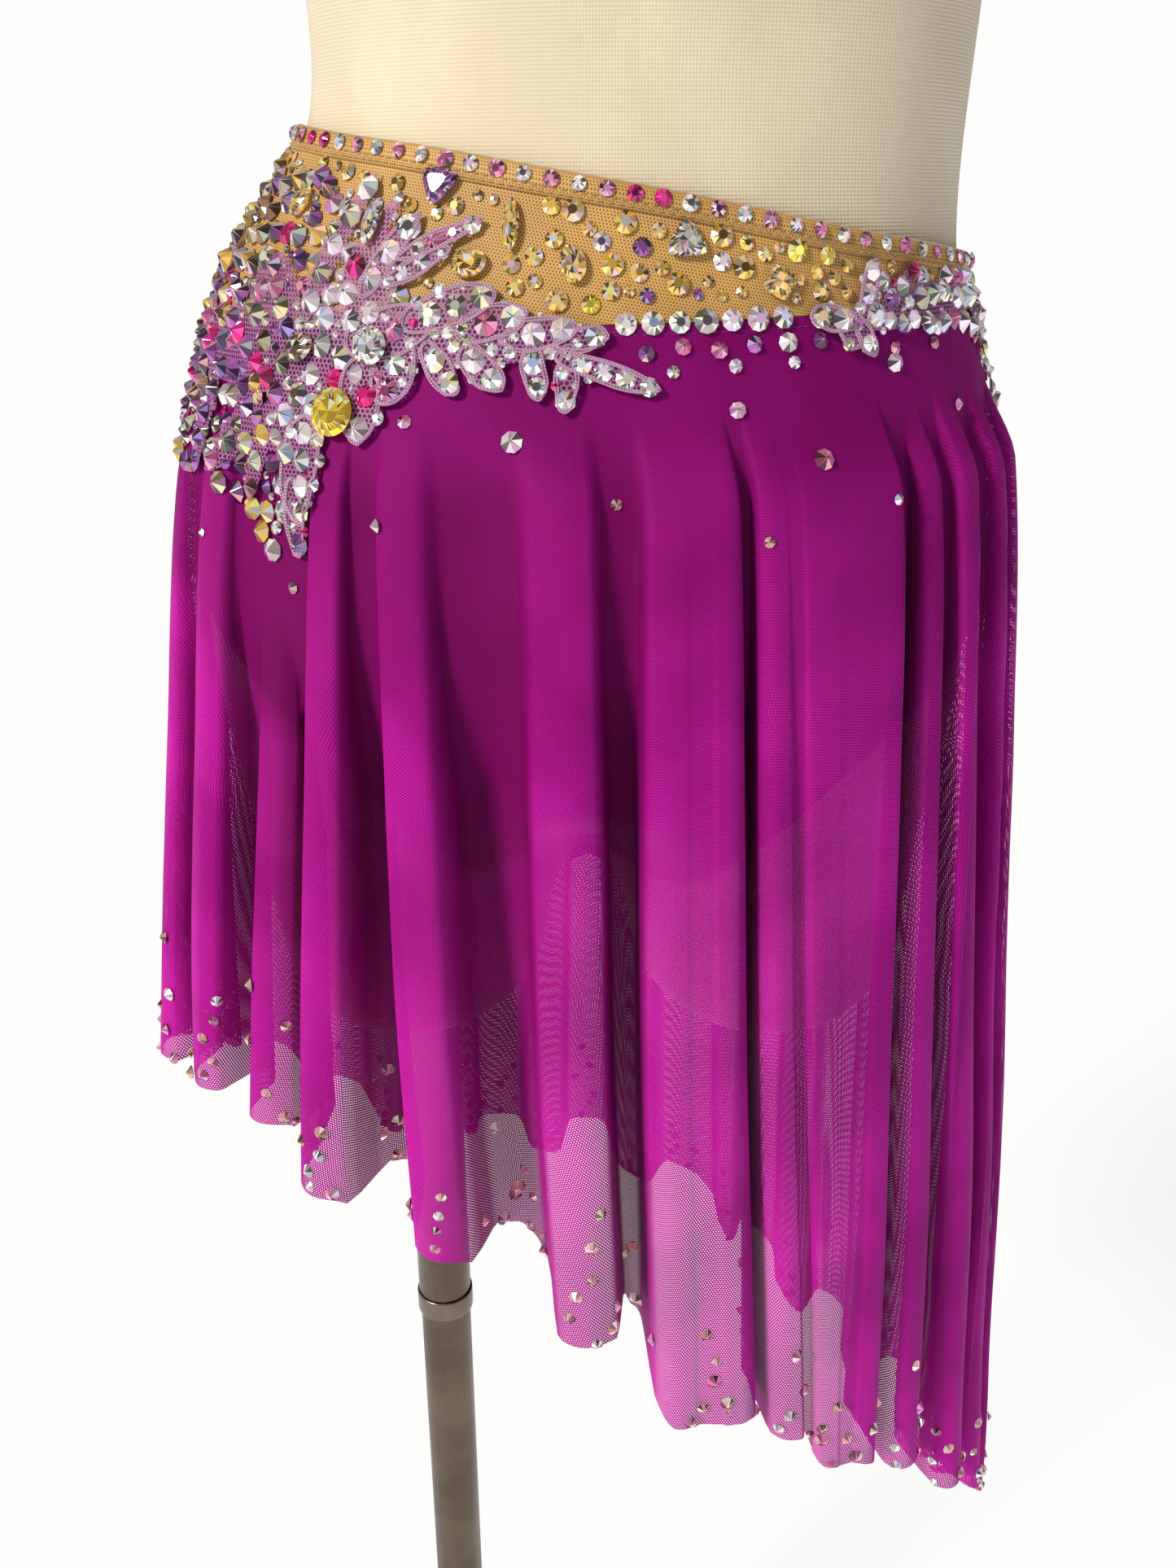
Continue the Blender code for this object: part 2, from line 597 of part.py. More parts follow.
def lace_piece(name, leaves):
    outlines = []
    rows = zip(leaves["root_angle"], leaves["root_drop"], leaves["tip_angle"],
               leaves["tip_drop"], leaves["width"])
    for root_angle, root_drop, tip_angle, tip_drop, width in rows:
        root = (root_angle * metres_per_degree, root_drop)
        tip = (tip_angle * metres_per_degree, tip_drop)
        outlines.append(leaf_outline(root, tip, width))
    corners = [p for outline in outlines for p in outline]
    low = [min(p[k] for p in corners) for k in (0, 1)]
    high = [max(p[k] for p in corners) for k in (0, 1)]
    inner = []
    for i in range(floor(low[0] / applique_grid), ceil(high[0] / applique_grid)):
        for j in range(floor(low[1] / applique_grid), ceil(high[1] / applique_grid)):
            inner.append(((i + 0.5 * (j % 2)) * applique_grid, j * applique_grid))
    lift = skirt_wall + applique_gap
    return patch_wall(name, outlines, inner, skirt_point, (lift, lift + applique_wall), "lace")


def stone_outline(corners, length, width):
    """The girdle: round, or pulled out to one point, two, three or four."""
    outline = []
    for k in range(stone_sides):
        way = 2 * pi * k / stone_sides
        near = abs((way * corners / (2 * pi) + 0.5) % 1 - 0.5) * 2
        reach = 1.0 - stone_cut[corners] * (1 - (1 - near) ** 1.6)
        outline.append((cos(way) * reach * length / 2, sin(way) * reach * width / 2))
    return outline


def sewn_stone(name, angle, drop, length, width, turn, corners, on):
    lift = skirt_wall + stone_gap
    if on == "lace":
        lift += applique_gap + applique_wall
    foot = lifted(skirt_point, angle, drop, lift)
    out = (lifted(skirt_point, angle, drop, lift + 0.01) - foot).normalized()
    level = Vector((-out.y, out.x, 0.0)).normalized()
    rise = out.cross(level)
    a = radians(turn)
    one, two = level * cos(a) + rise * sin(a), rise * cos(a) - level * sin(a)
    foot += out * (max(length, width) ** 2 / 8 / stone_bed)
    outline = stone_outline(corners, length, width)
    points = [foot + out * stone_height * up + (one * x + two * y) * size
              for up, size in zip(*stone_form.values()) for x, y in outline]
    count = len(outline)
    faces = [list(range(count)), list(range(2 * count, 3 * count))]
    for r in range(2):
        for k in range(count):
            n = (k + 1) % count
            faces.append([r * count + k, r * count + n, (r + 1) * count + n, (r + 1) * count + k])
    return finish("stone_" + name, points, faces, "crystal", crease=5)


def rod(name, radius, low, high):
    """One upright tube of the pole, flat at both ends."""
    turned(name, (pole_x, 0.0), [(0.0, low), (radius, low), (radius, high), (0.0, high)], "metal")


def build_stand():
    plate = waist_height - stub_rings["drop"][-1] - socket_gap - socket_thickness
    ring_z = waist_height - pole_ring_drop
    hub = base_thickness + hub_height
    rod("pole_socket", socket_radius, plate, plate + socket_thickness)
    rod("pole_upper", upper_radius, ring_z + ring_half + piece_gap, plate - piece_gap)
    rod("pole_lower", lower_radius, hub + piece_gap, ring_z - ring_half - piece_gap)
    turned("pole_ring", (pole_x, 0.0), [
        (0.0, ring_z - ring_half), (ring_radius - ring_bevel, ring_z - ring_half),
        (ring_radius, ring_z - ring_half + ring_bevel),
        (ring_radius, ring_z + ring_half - ring_bevel),
        (ring_radius - ring_bevel, ring_z + ring_half), (0.0, ring_z + ring_half)], "metal")
    turned("base_plate", (pole_x, 0.0), [
        (0.0, 0.0), (base_radius - base_bevel, 0.0), (base_radius, base_bevel),
        (base_radius, base_thickness - base_bevel), (base_radius - base_bevel, base_thickness),
        (hub_foot, base_thickness + base_bevel), (hub_radius, hub), (0.0, hub)],
        "metal", sides=base_sides)
    neck = waist_height - form_drops[0] + piece_gap
    turned("neck_cap", cap_middle,
           [(radius, neck + height) for radius, height in zip(*cap_profile.values())], "wood")


def centre_over_origin():
    """Moves the whole part so that its box stands on the floor with its middle at the origin."""
    bpy.context.view_layer.update()
    things = bpy.context.scene.objects
    corners = [thing.matrix_world @ v.co for thing in things for v in thing.data.vertices]
    middle_x = (min(c.x for c in corners) + max(c.x for c in corners)) / 2
    middle_y = (min(c.y for c in corners) + max(c.y for c in corners)) / 2
    for thing in things:
        thing.location.x -= middle_x
        thing.location.y -= middle_y


def main():
    for thing in list(bpy.data.objects):
        bpy.data.objects.remove(thing, do_unlink=True)
    build_form()
    build_stand()
    brief_panel("brief_front", -90, 90)
    brief_panel("brief_back", 90, 270)
    brief_gusset()
    skirt_panel("skirt_front", front_folds)
    skirt_panel("skirt_back", back_folds)
    yoke_panel("yoke_front", -90)
    yoke_panel("yoke_back", 90)
    waist_binding()
    lace_piece("applique_right_hip", right_hip_leaves)
    lace_piece("applique_left_hip", left_hip_leaves)
    for row in zip(*large_stones.values()):
        sewn_stone(*row)
    centre_over_origin()


main()
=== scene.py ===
# A flared purple mesh dance skirt with a tan yoke, corded lace and crystals, on a dress form.
import math

import bpy
import bmesh
import numpy as np
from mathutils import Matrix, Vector
from mathutils.geometry import delaunay_2d_cdt


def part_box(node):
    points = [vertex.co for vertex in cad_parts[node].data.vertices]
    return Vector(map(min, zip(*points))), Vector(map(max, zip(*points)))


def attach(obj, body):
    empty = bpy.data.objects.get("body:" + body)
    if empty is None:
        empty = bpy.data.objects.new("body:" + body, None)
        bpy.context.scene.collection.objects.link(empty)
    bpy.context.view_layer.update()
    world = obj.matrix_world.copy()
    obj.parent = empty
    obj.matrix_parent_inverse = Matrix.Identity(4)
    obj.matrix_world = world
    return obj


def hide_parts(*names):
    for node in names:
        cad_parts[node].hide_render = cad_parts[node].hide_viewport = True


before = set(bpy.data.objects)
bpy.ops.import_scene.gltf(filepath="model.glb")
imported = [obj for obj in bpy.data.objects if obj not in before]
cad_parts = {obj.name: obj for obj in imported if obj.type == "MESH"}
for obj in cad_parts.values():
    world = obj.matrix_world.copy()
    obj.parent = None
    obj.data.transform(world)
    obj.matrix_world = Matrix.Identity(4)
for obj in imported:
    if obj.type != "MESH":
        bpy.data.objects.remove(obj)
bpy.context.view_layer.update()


def mm(*sizes):
    return tuple(size / 1000 for size in sizes)


def link(name, data):
    made = bpy.data.objects.new(name, data)
    bpy.context.scene.collection.objects.link(made)
    return made


def boxMiddle(node):
    low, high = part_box(node)
    return (low.x + high.x) / 2, (low.y + high.y) / 2


# Places on the body are an angle round it, 0 at the front, 90 at the wearer's left and 180 at
# the back, and a drop below the waist in metres. The form, the seam and the surface that the
# folds crest on have the same tables as the solids.
waistHeight = 1.05
poleX = -0.0745  # the pole's place from the body's middle
poleMiddle = boxMiddle("pole_lower")
shift = np.array([poleMiddle[0] - poleX, poleMiddle[1], 0.0])

view = {
    "place": (0.0, -0.56, 1.05),
    "tilt": 66.8,  # degrees up from straight down
    "lens": 31.76,
    "nearest": 0.01,
}
camera = link("camera", bpy.data.cameras.new("camera"))
camera.data.lens, camera.data.clip_start = view["lens"], view["nearest"]
camera.location = Vector(view["place"]) + Vector(shift)
camera.rotation_euler = (math.radians(view["tilt"]), 0, 0)
bpy.context.scene.camera = camera
bpy.context.scene.view_settings.view_transform = "Standard"
print("camera set")


# Shader graphs
class Wire:
    # An output socket that takes part in sums: values by Math, vectors by Vector Math, colours by Mix.
    def __init__(self, graph, socket):
        self.graph, self.socket = graph, socket
        self.kind = socket.type

    def combine(self, operation, first, second):
        kinds = [item.kind for item in (first, second) if isinstance(item, Wire)]
        if "RGBA" in kinds:
            return self.graph.node("Mix", {"data_type": "RGBA", "blend_type": operation},
                                   {"Factor": 1.0, 6: first, 7: second}, output=2)
        if "VECTOR" in kinds:
            return self.graph.node("VectorMath", {"operation": operation}, {0: first, 1: second})
        return self.graph.node("Math", {"operation": operation}, {0: first, 1: second})

    def __add__(self, other):
        return self.combine("ADD", self, other)

    def __radd__(self, other):
        return self.combine("ADD", other, self)

    def __sub__(self, other):
        return self.combine("SUBTRACT", self, other)

    def __rsub__(self, other):
        return self.combine("SUBTRACT", other, self)

    def __mul__(self, other):
        return self.combine("MULTIPLY", self, other)

    def __rmul__(self, other):
        return self.combine("MULTIPLY", other, self)

    def least(self, other):
        return self.combine("MINIMUM", self, other)

    def fraction(self):
        return self.graph.node("VectorMath", {"operation": "FRACTION"}, {0: self})

    def length(self):
        return self.graph.node("VectorMath", {"operation": "LENGTH"}, {0: self}, output=1)

    def sine(self):
        return self.graph.node("Math", {"operation": "SINE"}, {0: self})

    def axis(self, number):
        return self.graph.node("SeparateXYZ", {}, {0: self}, output=number)

    def between(self, low, high, start=0.0, end=1.0):
        return self.graph.node("MapRange", {"interpolation_type": "SMOOTHSTEP"}, {
            "Value": self, "From Min": low, "From Max": high, "To Min": start, "To Max": end})

    def blend(self, first, second):
        return self.graph.node("Mix", {"data_type": "RGBA"},
                               {"Factor": self, 6: first, 7: second}, output=2)


class Graph:
    def __init__(self, name):
        self.material = bpy.data.materials.new(name)
        self.material.use_nodes = True
        self.tree = self.material.node_tree
        self.tree.nodes.clear()

    def node(self, kind, settings=None, inputs=None, output=0):
        made = self.tree.nodes.new("ShaderNode" + kind)
        for name, value in (settings or {}).items():
            setattr(made, name, value)
        for name, value in (inputs or {}).items():
            if isinstance(value, Wire):
                self.tree.links.new(value.socket, made.inputs[name])
            else:
                made.inputs[name].default_value = value
        return Wire(self, made.outputs[output]) if len(made.outputs) else made

    def cloth(self):
        return self.node("UVMap", {"uv_map": "cloth"})

    def spot(self):
        return self.node("TexCoord", {}, {}, output=3)

    def painted(self, name, output=2):
        return self.node("Attribute", {"attribute_name": name}, {}, output)

    def noise(self, where, scale, detail=2.0):
        return self.node("TexNoise", {}, {"Vector": where, "Scale": scale, "Detail": detail})

    def bump(self, height, strength, distance):
        return self.node("Bump", {}, {"Height": height, "Strength": strength,
                                      "Distance": distance})

    def net(self, where, cloth):
        # A six-sided net: how far, in pitches, a place is from the middle of its hole, and 1 in
        # the holes, fading to 0 on the threads.
        root, half = math.sqrt(3), (0.5, 0.5, 0.0)
        place = where * (1 / cloth["pitch"], 1 / (cloth["pitch"] * root), 0.0)
        one, two = (((moved.fraction() - half) * (1.0, root, 0.0)).length()
                    for moved in (place, place + half))
        distance = one.least(two)
        low, high = cloth["hole"] - cloth["soft"], cloth["hole"] + cloth["soft"]
        return distance, distance.between(low, high, 1.0, 0.0)

    def finish(self, inputs):
        surface = self.node("BsdfPrincipled", {}, inputs)
        self.node("OutputMaterial", {}, {"Surface": surface})
        return self.material

    def finishCloth(self, cloth, colour, height, inputs=None):
        return self.finish({
            "Base Color": colour, "Roughness": cloth["roughness"], "Sheen Weight": cloth["sheen"],
            "Normal": self.bump(height, *cloth["bump"]), **(inputs or {})})


def rgba(red, green, blue):
    return (red, green, blue, 1.0)


# Smooth surfaces from short tables
def smoothCurve(xs, ys, x):
    xs, ys = np.array(xs, float), np.array(ys, float)
    steps = np.diff(ys) / np.diff(xs)
    before, after = steps[:-1], steps[1:]
    total = np.where(before + after == 0, 1.0, before + after)
    middle = np.where(before * after > 0, 2 * before * after / total, 0.0)
    slopes = np.concatenate([[0.0], middle, [0.0]])
    x = np.clip(x, xs[0], xs[-1])
    i = np.clip(np.searchsorted(xs, x, side="right") - 1, 0, len(xs) - 2)
    width = xs[i + 1] - xs[i]
    t = (x - xs[i]) / width
    a, b = slopes[i] * width, slopes[i + 1] * width
    return (ys[i] * (1 + 2 * t) * (1 - t) ** 2 + a * t * (1 - t) ** 2
            + ys[i + 1] * t * t * (3 - 2 * t) - b * t * t * (1 - t))


def ease(t):
    t = np.clip(t, 0.0, 1.0)
    return t * t * (3 - 2 * t)


def unit(vectors):
    return vectors / np.maximum(np.linalg.norm(vectors, axis=-1, keepdims=True), 1e-12)


def turnInRange(angle):
    return (np.asarray(angle, float) + 180) % 360 - 180


def roundLine(table, angle):
    return smoothCurve(table["angle"], table["drop"], turnInRange(angle))


def lineAt(table, below=0.0):
    # A line round the body that runs some way below one of the tables' lines.
    return lambda angle: roundLine(table, angle) + below


def sectionPoint(table, angle, drop):
    left, right, front, back = (smoothCurve(table["drop"], table[side], drop)
                                for side in ("left", "right", "front", "back"))
    a = np.radians(angle)
    x = (right - left) / 2 + (right + left) / 2 * np.sin(a)
    y = -np.cos(a) * np.where(np.cos(a) > 0, front, back)
    return x, y


nearby = {"turn": 0.2, "drop": 0.0005}  # the steps that a surface's slope is taken over


def lifted(surface, angle, drop, lift):
    # A surface's point moved out along its normal.
    here, turn, step = surface(angle, drop), nearby["turn"], nearby["drop"]
    roundIt = surface(angle + turn, drop) - surface(angle - turn, drop)
    downIt = surface(angle, drop + step) - surface(angle, drop - step)
    return here + unit(np.cross(downIt, roundIt)) * np.asarray(lift)[..., None]


def standing(surface, angle, drop, lift, reach):
    # A lifted point, and the way out from it.
    foot = lifted(surface, angle, drop, lift)
    return foot, unit(lifted(surface, angle, drop, lift + reach) - foot)


def crossWays(out, angle):
    # The two ways across a thing that stands along out and is turned about it.
    level = unit(np.cross([0.0, 0.0, 1.0], out))
    rise = np.cross(out, level)
    return (level * np.cos(angle) + rise * np.sin(angle),
            rise * np.cos(angle) - level * np.sin(angle))


form = {
    "drop": mm(-460, -420, -395, -370, -330, -290, -240, -180, -120, -60, -30, -15, 1, 18, 36,
               54, 72, 100, 140, 170, 205, 235, 262),
    "left": mm(46, 47, 60, 102, 140, 139, 127, 114, 105, 99.5, 99.5, 104, 114.5, 127, 136, 143,
               148, 153, 157, 157, 154, 150, 146),
    "right": mm(70, 71, 84, 126, 164, 161, 151, 144, 141, 139, 137.5, 137, 137, 138, 141, 146,
                150, 154, 157, 157, 154, 150, 146),
    "front": mm(42, 43, 46, 56, 78, 101, 118, 104, 89, 83, 83, 84, 86, 90, 95, 100, 104, 108,
                110, 108, 102, 94, 86),
    "back": mm(52, 53, 60, 76, 90, 92, 86, 80, 76, 76, 77, 79, 82, 87, 93, 100, 106, 114, 120,
               119, 112, 103, 95),
    "creaseStart": 0.205, "creaseEnd": 0.268, "creaseWidth": 0.030,
}


def bodyPoint(angle, drop):
    angle, drop = np.broadcast_arrays(np.asarray(angle, float), np.asarray(drop, float))
    x, y = sectionPoint(form, angle, drop)
    crease = ease((drop - form["creaseStart"]) / (form["creaseEnd"] - form["creaseStart"]))
    y = y * (1 - crease * np.exp(-(x / form["creaseWidth"]) ** 2))
    return np.stack([x, y, waistHeight - drop], -1) + shift


topEdge = {
    "angle": (-180, -135, -90, -45, 0, 45, 90, 135, 180),
    "drop": mm(3, -9, -21, -15, -2, 14, 22, 14, 3),
}
seamLine = {
    "angle": (-180, -90, -30, 0, 30, 60, 90, 135, 180),
    "drop": mm(40, 42, 41, 40, 38, 34, 33, 37, 40),
}
hemLine = {  # level under each fold, and a step down inside the valley before the next
    "angle": (-180, -155, -135, -115, -90, -78, -72, -67, -61, -56, -52, -47, -43.5, -40, -37,
              -33, -29.7, -26.5, -21, -17.8, -14, -10.5, -5.5, -2, 3, 5.8, 7.8, 10.8, 18.5, 21,
              23, 26, 29.5, 34.5, 38.5, 41, 44.5, 48, 52, 57.5, 61, 64, 67, 71, 75, 80, 84, 89,
              105, 125, 145, 162, 180),
    "drop": mm(552, 532, 480, 415, 371, 350, 345, 344, 338, 336, 336, 339, 342, 343, 350, 358,
               359.5, 364, 366, 372.5, 374.5, 384, 389, 407, 408.5, 424, 428, 450, 453.5, 463.5,
               468, 470, 490, 496, 508, 515, 518, 530, 551, 556, 570, 584, 590, 604, 620, 626,
               642, 653, 667, 661, 633, 588, 552),
}
legLine = {
    "angle": (-180, -172, -166, -150, -120, -90, -60, -40, -25, -15, -8, 0, 8, 15, 25, 40, 60,
              90, 120, 150, 166, 172, 180),
    "drop": mm(261.5, 261, 250, 232, 180, 130, 158, 188, 220, 246, 261, 261.5, 261, 248, 226,
               198, 172, 146, 190, 236, 250, 261, 261.5),
}
skirtSections = {  # the outside of the skirt where its folds crest
    "drop": mm(40, 94, 200, 300, 400, 500, 600, 700),
    "left": mm(140, 160, 177, 191, 202, 209, 214, 217),
    "right": mm(144, 167, 179, 188, 198, 205, 213, 216),
    "front": mm(99, 117, 134, 147, 156, 163, 170, 174),
    "back": mm(97, 125, 146, 160, 169, 176, 182, 186),
}
frontFolds = {
    "seam": (-90, -73, -57, -43, -34, -26.5, -5, 8, 14, 20, 25, 40, 45, 54, 65, 77, 90),
    "hem": (-90, -69, -54, -41.5, -31.3, -15.8, 0.5, 11.3, 17.8, 24.5, 30, 35, 42.5, 55, 65,
            77, 90),
    "depth": mm(24, 24, 26, 30, 40, 40, 38, 1, 36, 5, 1, 34, 28, 24, 26, 26, 0),
    "lean": (0, 0, 0, 0, 0, 0, -0.05, 0, 0, 0, 0, -0.1, 0, 0, 0.1, 0, 0),
    "breadth": (0.5, 0.5, 0.45, 0.36, 0.60, 0.62, 0.46, 0.5, 0.36, 0.4, 0.5, 0.4, 0.42, 0.5,
                0.5, 0.55, 0.5),
    "start": (0.12, 0.10, 0.08, 0.10, 0.10, 0.10, 0.12, 0.3, 0.16, 0.4, 0.25, 0.07, 0.08, 0.07,
              0.07, 0.10, 0.10),
}
backFolds = {
    "seam": (90, 103, 118, 131, 147, 164, 178, 194, 209, 222, 238, 254, 270),
    "hem": (90, 104, 116, 133, 149, 162, 180, 196, 207, 224, 240, 253, 270),
    "depth": mm(28, 22, 36, 34, 26, 40, 36, 20, 38, 32, 26, 28, 0),
    "lean": (0, 0.1, -0.1, 0, 0.15, -0.1, 0.1, 0, -0.15, 0.1, 0, 0.1, 0),
    "breadth": (0.5, 0.45, 0.65, 0.6, 0.5, 0.68, 0.6, 0.5, 0.65, 0.6, 0.5, 0.55, 0.5),
    "start": (0.10, 0.12, 0.2, 0.15, 0.3, 0.12, 0.2, 0.3, 0.15, 0.2, 0.15, 0.12, 0.12),
}
pleats = {  # sharp one-sided steps: which side drops back, how far, and how soon it comes out again
    "seam": (-40, 39.5, 56, 66, 76, 150, 205),
    "hem": (-35.2, 36, 49, 61.5, 74, 152, 203),
    "side": (-1, 1, 1, 1, 1, 1, -1),
    "step": mm(12, 6.5, 3.5, 4.5, 4.5, 5, 5),
    "fade": (17, 11, 7, 7, 8, 12, 12),
}
skirt = {
    "lift": 0.0023,  # off the form at the yoke
    "wall": 0.0012,
    "blend": 0.060,  # how soon below the seam it hangs free
    "roll": 0.06,
    "slope": 0.17,  # how gently the folds' sides turn back
    "round": 0.30,  # how much of their depth is a plain wave
    "sideways": 0.45, "backward": 1.4,  # the folds fall more straight back than in to the body
    "deepen": 1.05, "growth": 0.65,  # how deep the folds get, and how soon on their way down
    "edge": 0.7, "edgeGrowth": 0.9, "pleatStart": 0.05,  # how the pleats' steps widen and begin
    "columnsPerFold": 30, "rows": 96, "crowding": 1.2,  # the rows crowd towards the seam
    "sideGap": 0.06, "seamGap": 0.00015,
    "hemWave": 0.0011, "flutter": ((41, 0.7), (67, 2.1)), "hemOnly": 5,
    "deepFold": 0.017, "openBelow": 0.65,  # how deep a fold gets before its painted shade is darkest, and how much less of it at the hem
    "shadeOnBrief": 0.80,  # how much painted shade the mesh gets where it lies close on the dark brief
    "nearBody": 0.026, "legFade": 0.02, "lightStart": 0.70, "lightFade": 0.25,
}


def foldsHere(table, angle, down):
    # The share of the way from crest to crest, how far into the valley, its depth and its start.
    seam, hem = np.array(table["seam"], float), np.array(table["hem"], float)
    crests = seam + (hem - seam) * down[..., None]
    k = np.clip((crests <= angle[..., None]).sum(-1) - 1, 0, len(seam) - 2)
    low = np.take_along_axis(crests, k[..., None], -1)[..., 0]
    high = np.take_along_axis(crests, k[..., None] + 1, -1)[..., 0]
    share = (angle - low) / (high - low)
    share = share + np.array(table["lean"])[k] * np.sin(np.pi * share) ** 2
    middle = 1 - np.array(table["breadth"])[k]
    slope = np.minimum(np.minimum(middle, 1 - middle), skirt["slope"])
    wave = np.sin(np.pi * share) ** 2
    valley = ease((wave - middle + slope) / (2 * slope))
    valley = valley + (wave - valley) * skirt["round"]
    return share, valley, np.array(table["depth"])[k], np.array(table["start"])[k]


def pleatDepth(angle, down):
    # How far the pleats' steps set the cloth back.
    total = np.zeros_like(down)
    for seam, hem, side, step, fade in zip(*pleats.values()):
        away = side * turnInRange(angle - (seam + (hem - seam) * down))
        edge = ease(away / (skirt["edge"] + skirt["edgeGrowth"] * down))
        total = total + step * edge * (1 - ease(away / fade)) * ease(down / skirt["pleatStart"])
    return total


def crestPoint(angle, drop):
    # A place just off the form, the same place on the crests' surface, and that one's x and y.
    close = lifted(bodyPoint, angle, drop, skirt["lift"])
    x, y = sectionPoint(skirtSections, angle, drop)
    crest = np.stack([x + shift[0], y + shift[1], close[..., 2]], -1)
    full = ease((drop - roundLine(seamLine, angle)) / skirt["blend"])
    return close, close + (crest - close) * full[..., None], x, y


def skirtPoint(angle, drop):
    # The inside of the skirt's wall, or of the yoke's above the seam.
    angle, drop = np.broadcast_arrays(np.asarray(angle, float), np.asarray(drop, float))
    close, here, x, y = crestPoint(angle, drop)
    seam = roundLine(seamLine, angle)
    room = np.maximum(np.linalg.norm(here - close, axis=-1) - skirt["wall"], 0.0)
    down = np.clip((drop - seam) / (roundLine(hemLine, angle) - seam), 1e-6, 1.1)
    wrapped, whole = turnInRange(angle), angle % 360
    reach = np.minimum(down, 1.0)
    front = foldsHere(frontFolds, np.clip(wrapped, -90, 90), reach)
    back = foldsHere(backFolds, np.clip(whole, 90, 270), reach)
    atBack = (whole > 90) & (whole < 270)
    share, valley, depth, start = (np.where(atBack, b, f) for f, b in zip(front, back))
    depth = np.minimum(depth * skirt["deepen"] * down ** skirt["growth"] * ease(down / start), room)
    flat = np.zeros_like(x)
    outward = unit(np.stack([x * skirt["sideways"], y * skirt["backward"], flat], -1))
    along = np.stack([-outward[..., 1], outward[..., 0], flat], -1)
    inward = np.minimum(depth * valley + pleatDepth(angle, down), room)
    here = here - outward * inward[..., None]
    here = here + along * (depth * skirt["roll"] * np.sin(2 * np.pi * share))[..., None]
    return np.where((drop <= seam)[..., None], close, here)


def skirtShade(angle, drop):
    # How deep in the folds a place lies, and how close on the dark brief, both from 0 to 1: the masks
    # of the mesh's painted shade.
    bare, crest, _, _ = crestPoint(angle, drop)
    here = skirtPoint(angle, drop)
    near = 1 - ease(np.linalg.norm(bare - here, axis=-1) / skirt["nearBody"])
    return (ease(np.linalg.norm(crest - here, axis=-1) / skirt["deepFold"]),
            near * ease((roundLine(legLine, angle) - drop) / skirt["legFade"]))


# Cloths and finishes
meshCloth = {
    "lit": rgba(0.48, 0.009, 0.318), "deep": rgba(0.345, 0.004, 0.225),
    # the colour and strength of the painted shade, and the strength of the painted glow near the hem
    "shade": rgba(0.120, 0.0005, 0.060), "shading": 0.85, "glow": 0.03,
    "pitch": 0.00105, "hole": 0.24, "soft": 0.07, "open": 0.90, "patch": 14.0,
    "edgeOn": (0.35, 0.85), "openEdgeOn": 0.06,  # the holes close where it is seen edge-on
    "packed": 0.7,  # how far the cloth's own layers close the holes in deep folds
    "roughness": 0.6, "sheen": 0.06, "sheenTint": rgba(0.9, 0.05, 0.6), "bump": (0.5, 0.0004),
}


def makeMeshLook():
    graph = Graph("purpleMesh")
    where = graph.cloth()
    distance, hole = graph.net(where, meshCloth)
    edgeOn = graph.node("LayerWeight", {}, {"Blend": 0.5}, output=1)
    foldShade = graph.painted("foldShade")
    hole = (hole * edgeOn.between(*meshCloth["edgeOn"], 1.0, meshCloth["openEdgeOn"])
            * (1 - foldShade * meshCloth["packed"]))
    patch = graph.noise(where, meshCloth["patch"]).between(0.35, 0.65)
    # Painted shade: the colour darkens to the shade colour in the fold valleys and where the mesh lies
    # on the brief.
    colour = (foldShade * meshCloth["shading"]).blend(patch.blend(meshCloth["deep"], meshCloth["lit"]),
                                                 meshCloth["shade"])
    return graph.finishCloth(meshCloth, colour, distance, {
        "Alpha": 1 - hole * meshCloth["open"],
        "Sheen Roughness": 0.4,
        "Sheen Tint": meshCloth["sheenTint"],
        "Specular IOR Level": 0.06,
        "Emission Color": graph.painted("light").blend(rgba(0, 0, 0), meshCloth["lit"]),
        "Emission Strength": meshCloth["glow"],  # light that comes through near the hem
    })


tanCloth = {
    "thread": rgba(0.62, 0.355, 0.095), "dark": rgba(0.24, 0.12, 0.032),
    "pitch": 0.00115, "hole": 0.30, "soft": 0.10, "patch": 30.0, "shading": (0.86, 1.06),
    "roughness": 0.55, "sheen": 0.2, "bump": (0.6, 0.0003),
}


def makeTanLook():
    graph = Graph("tanMesh")
    where = graph.cloth()
    distance, hole = graph.net(where, tanCloth)
    patch = graph.noise(where, tanCloth["patch"]).between(0.3, 0.7, *tanCloth["shading"])
    grey = graph.node("CombineColor", {}, {0: patch, 1: patch, 2: patch})
    # The net's holes are painted in the dark colour: painted shade for the depth seen through them.
    colour = hole.blend(tanCloth["thread"], tanCloth["dark"]) * grey
    return graph.finishCloth(tanCloth, colour, distance, {"Specular IOR Level": 0.35})


briefCloth = {
    "colour": rgba(0.125, 0.002, 0.095), "light": rgba(0.16, 0.003, 0.125),
    "rib": 0.0007, "patch": 60.0, "roughness": 0.5, "sheen": 0.3, "bump": (0.25, 0.00015),
}


def makeBriefLook():
    graph = Graph("purpleBrief")
    where = graph.cloth()
    ribs = (where * (math.tau / briefCloth["rib"], 1.0, 1.0)).axis(0).sine()
    patch = graph.noise(where, briefCloth["patch"]).between(0.3, 0.7)
    return graph.finishCloth(briefCloth, patch.blend(briefCloth["colour"], briefCloth["light"]),
                             ribs)


jersey = {
    "colour": rgba(0.75, 0.66, 0.47), "shade": rgba(0.62, 0.535, 0.37),
    "rosyLight": rgba(0.42, 0.030, 0.150),  # painted light under the skirt, for the light that the mesh colours
    "wale": 0.0016, "course": 0.0012, "patch": 18.0,
    "roughness": 0.85, "sheen": 0.25, "bump": (0.35, 0.00018),
}


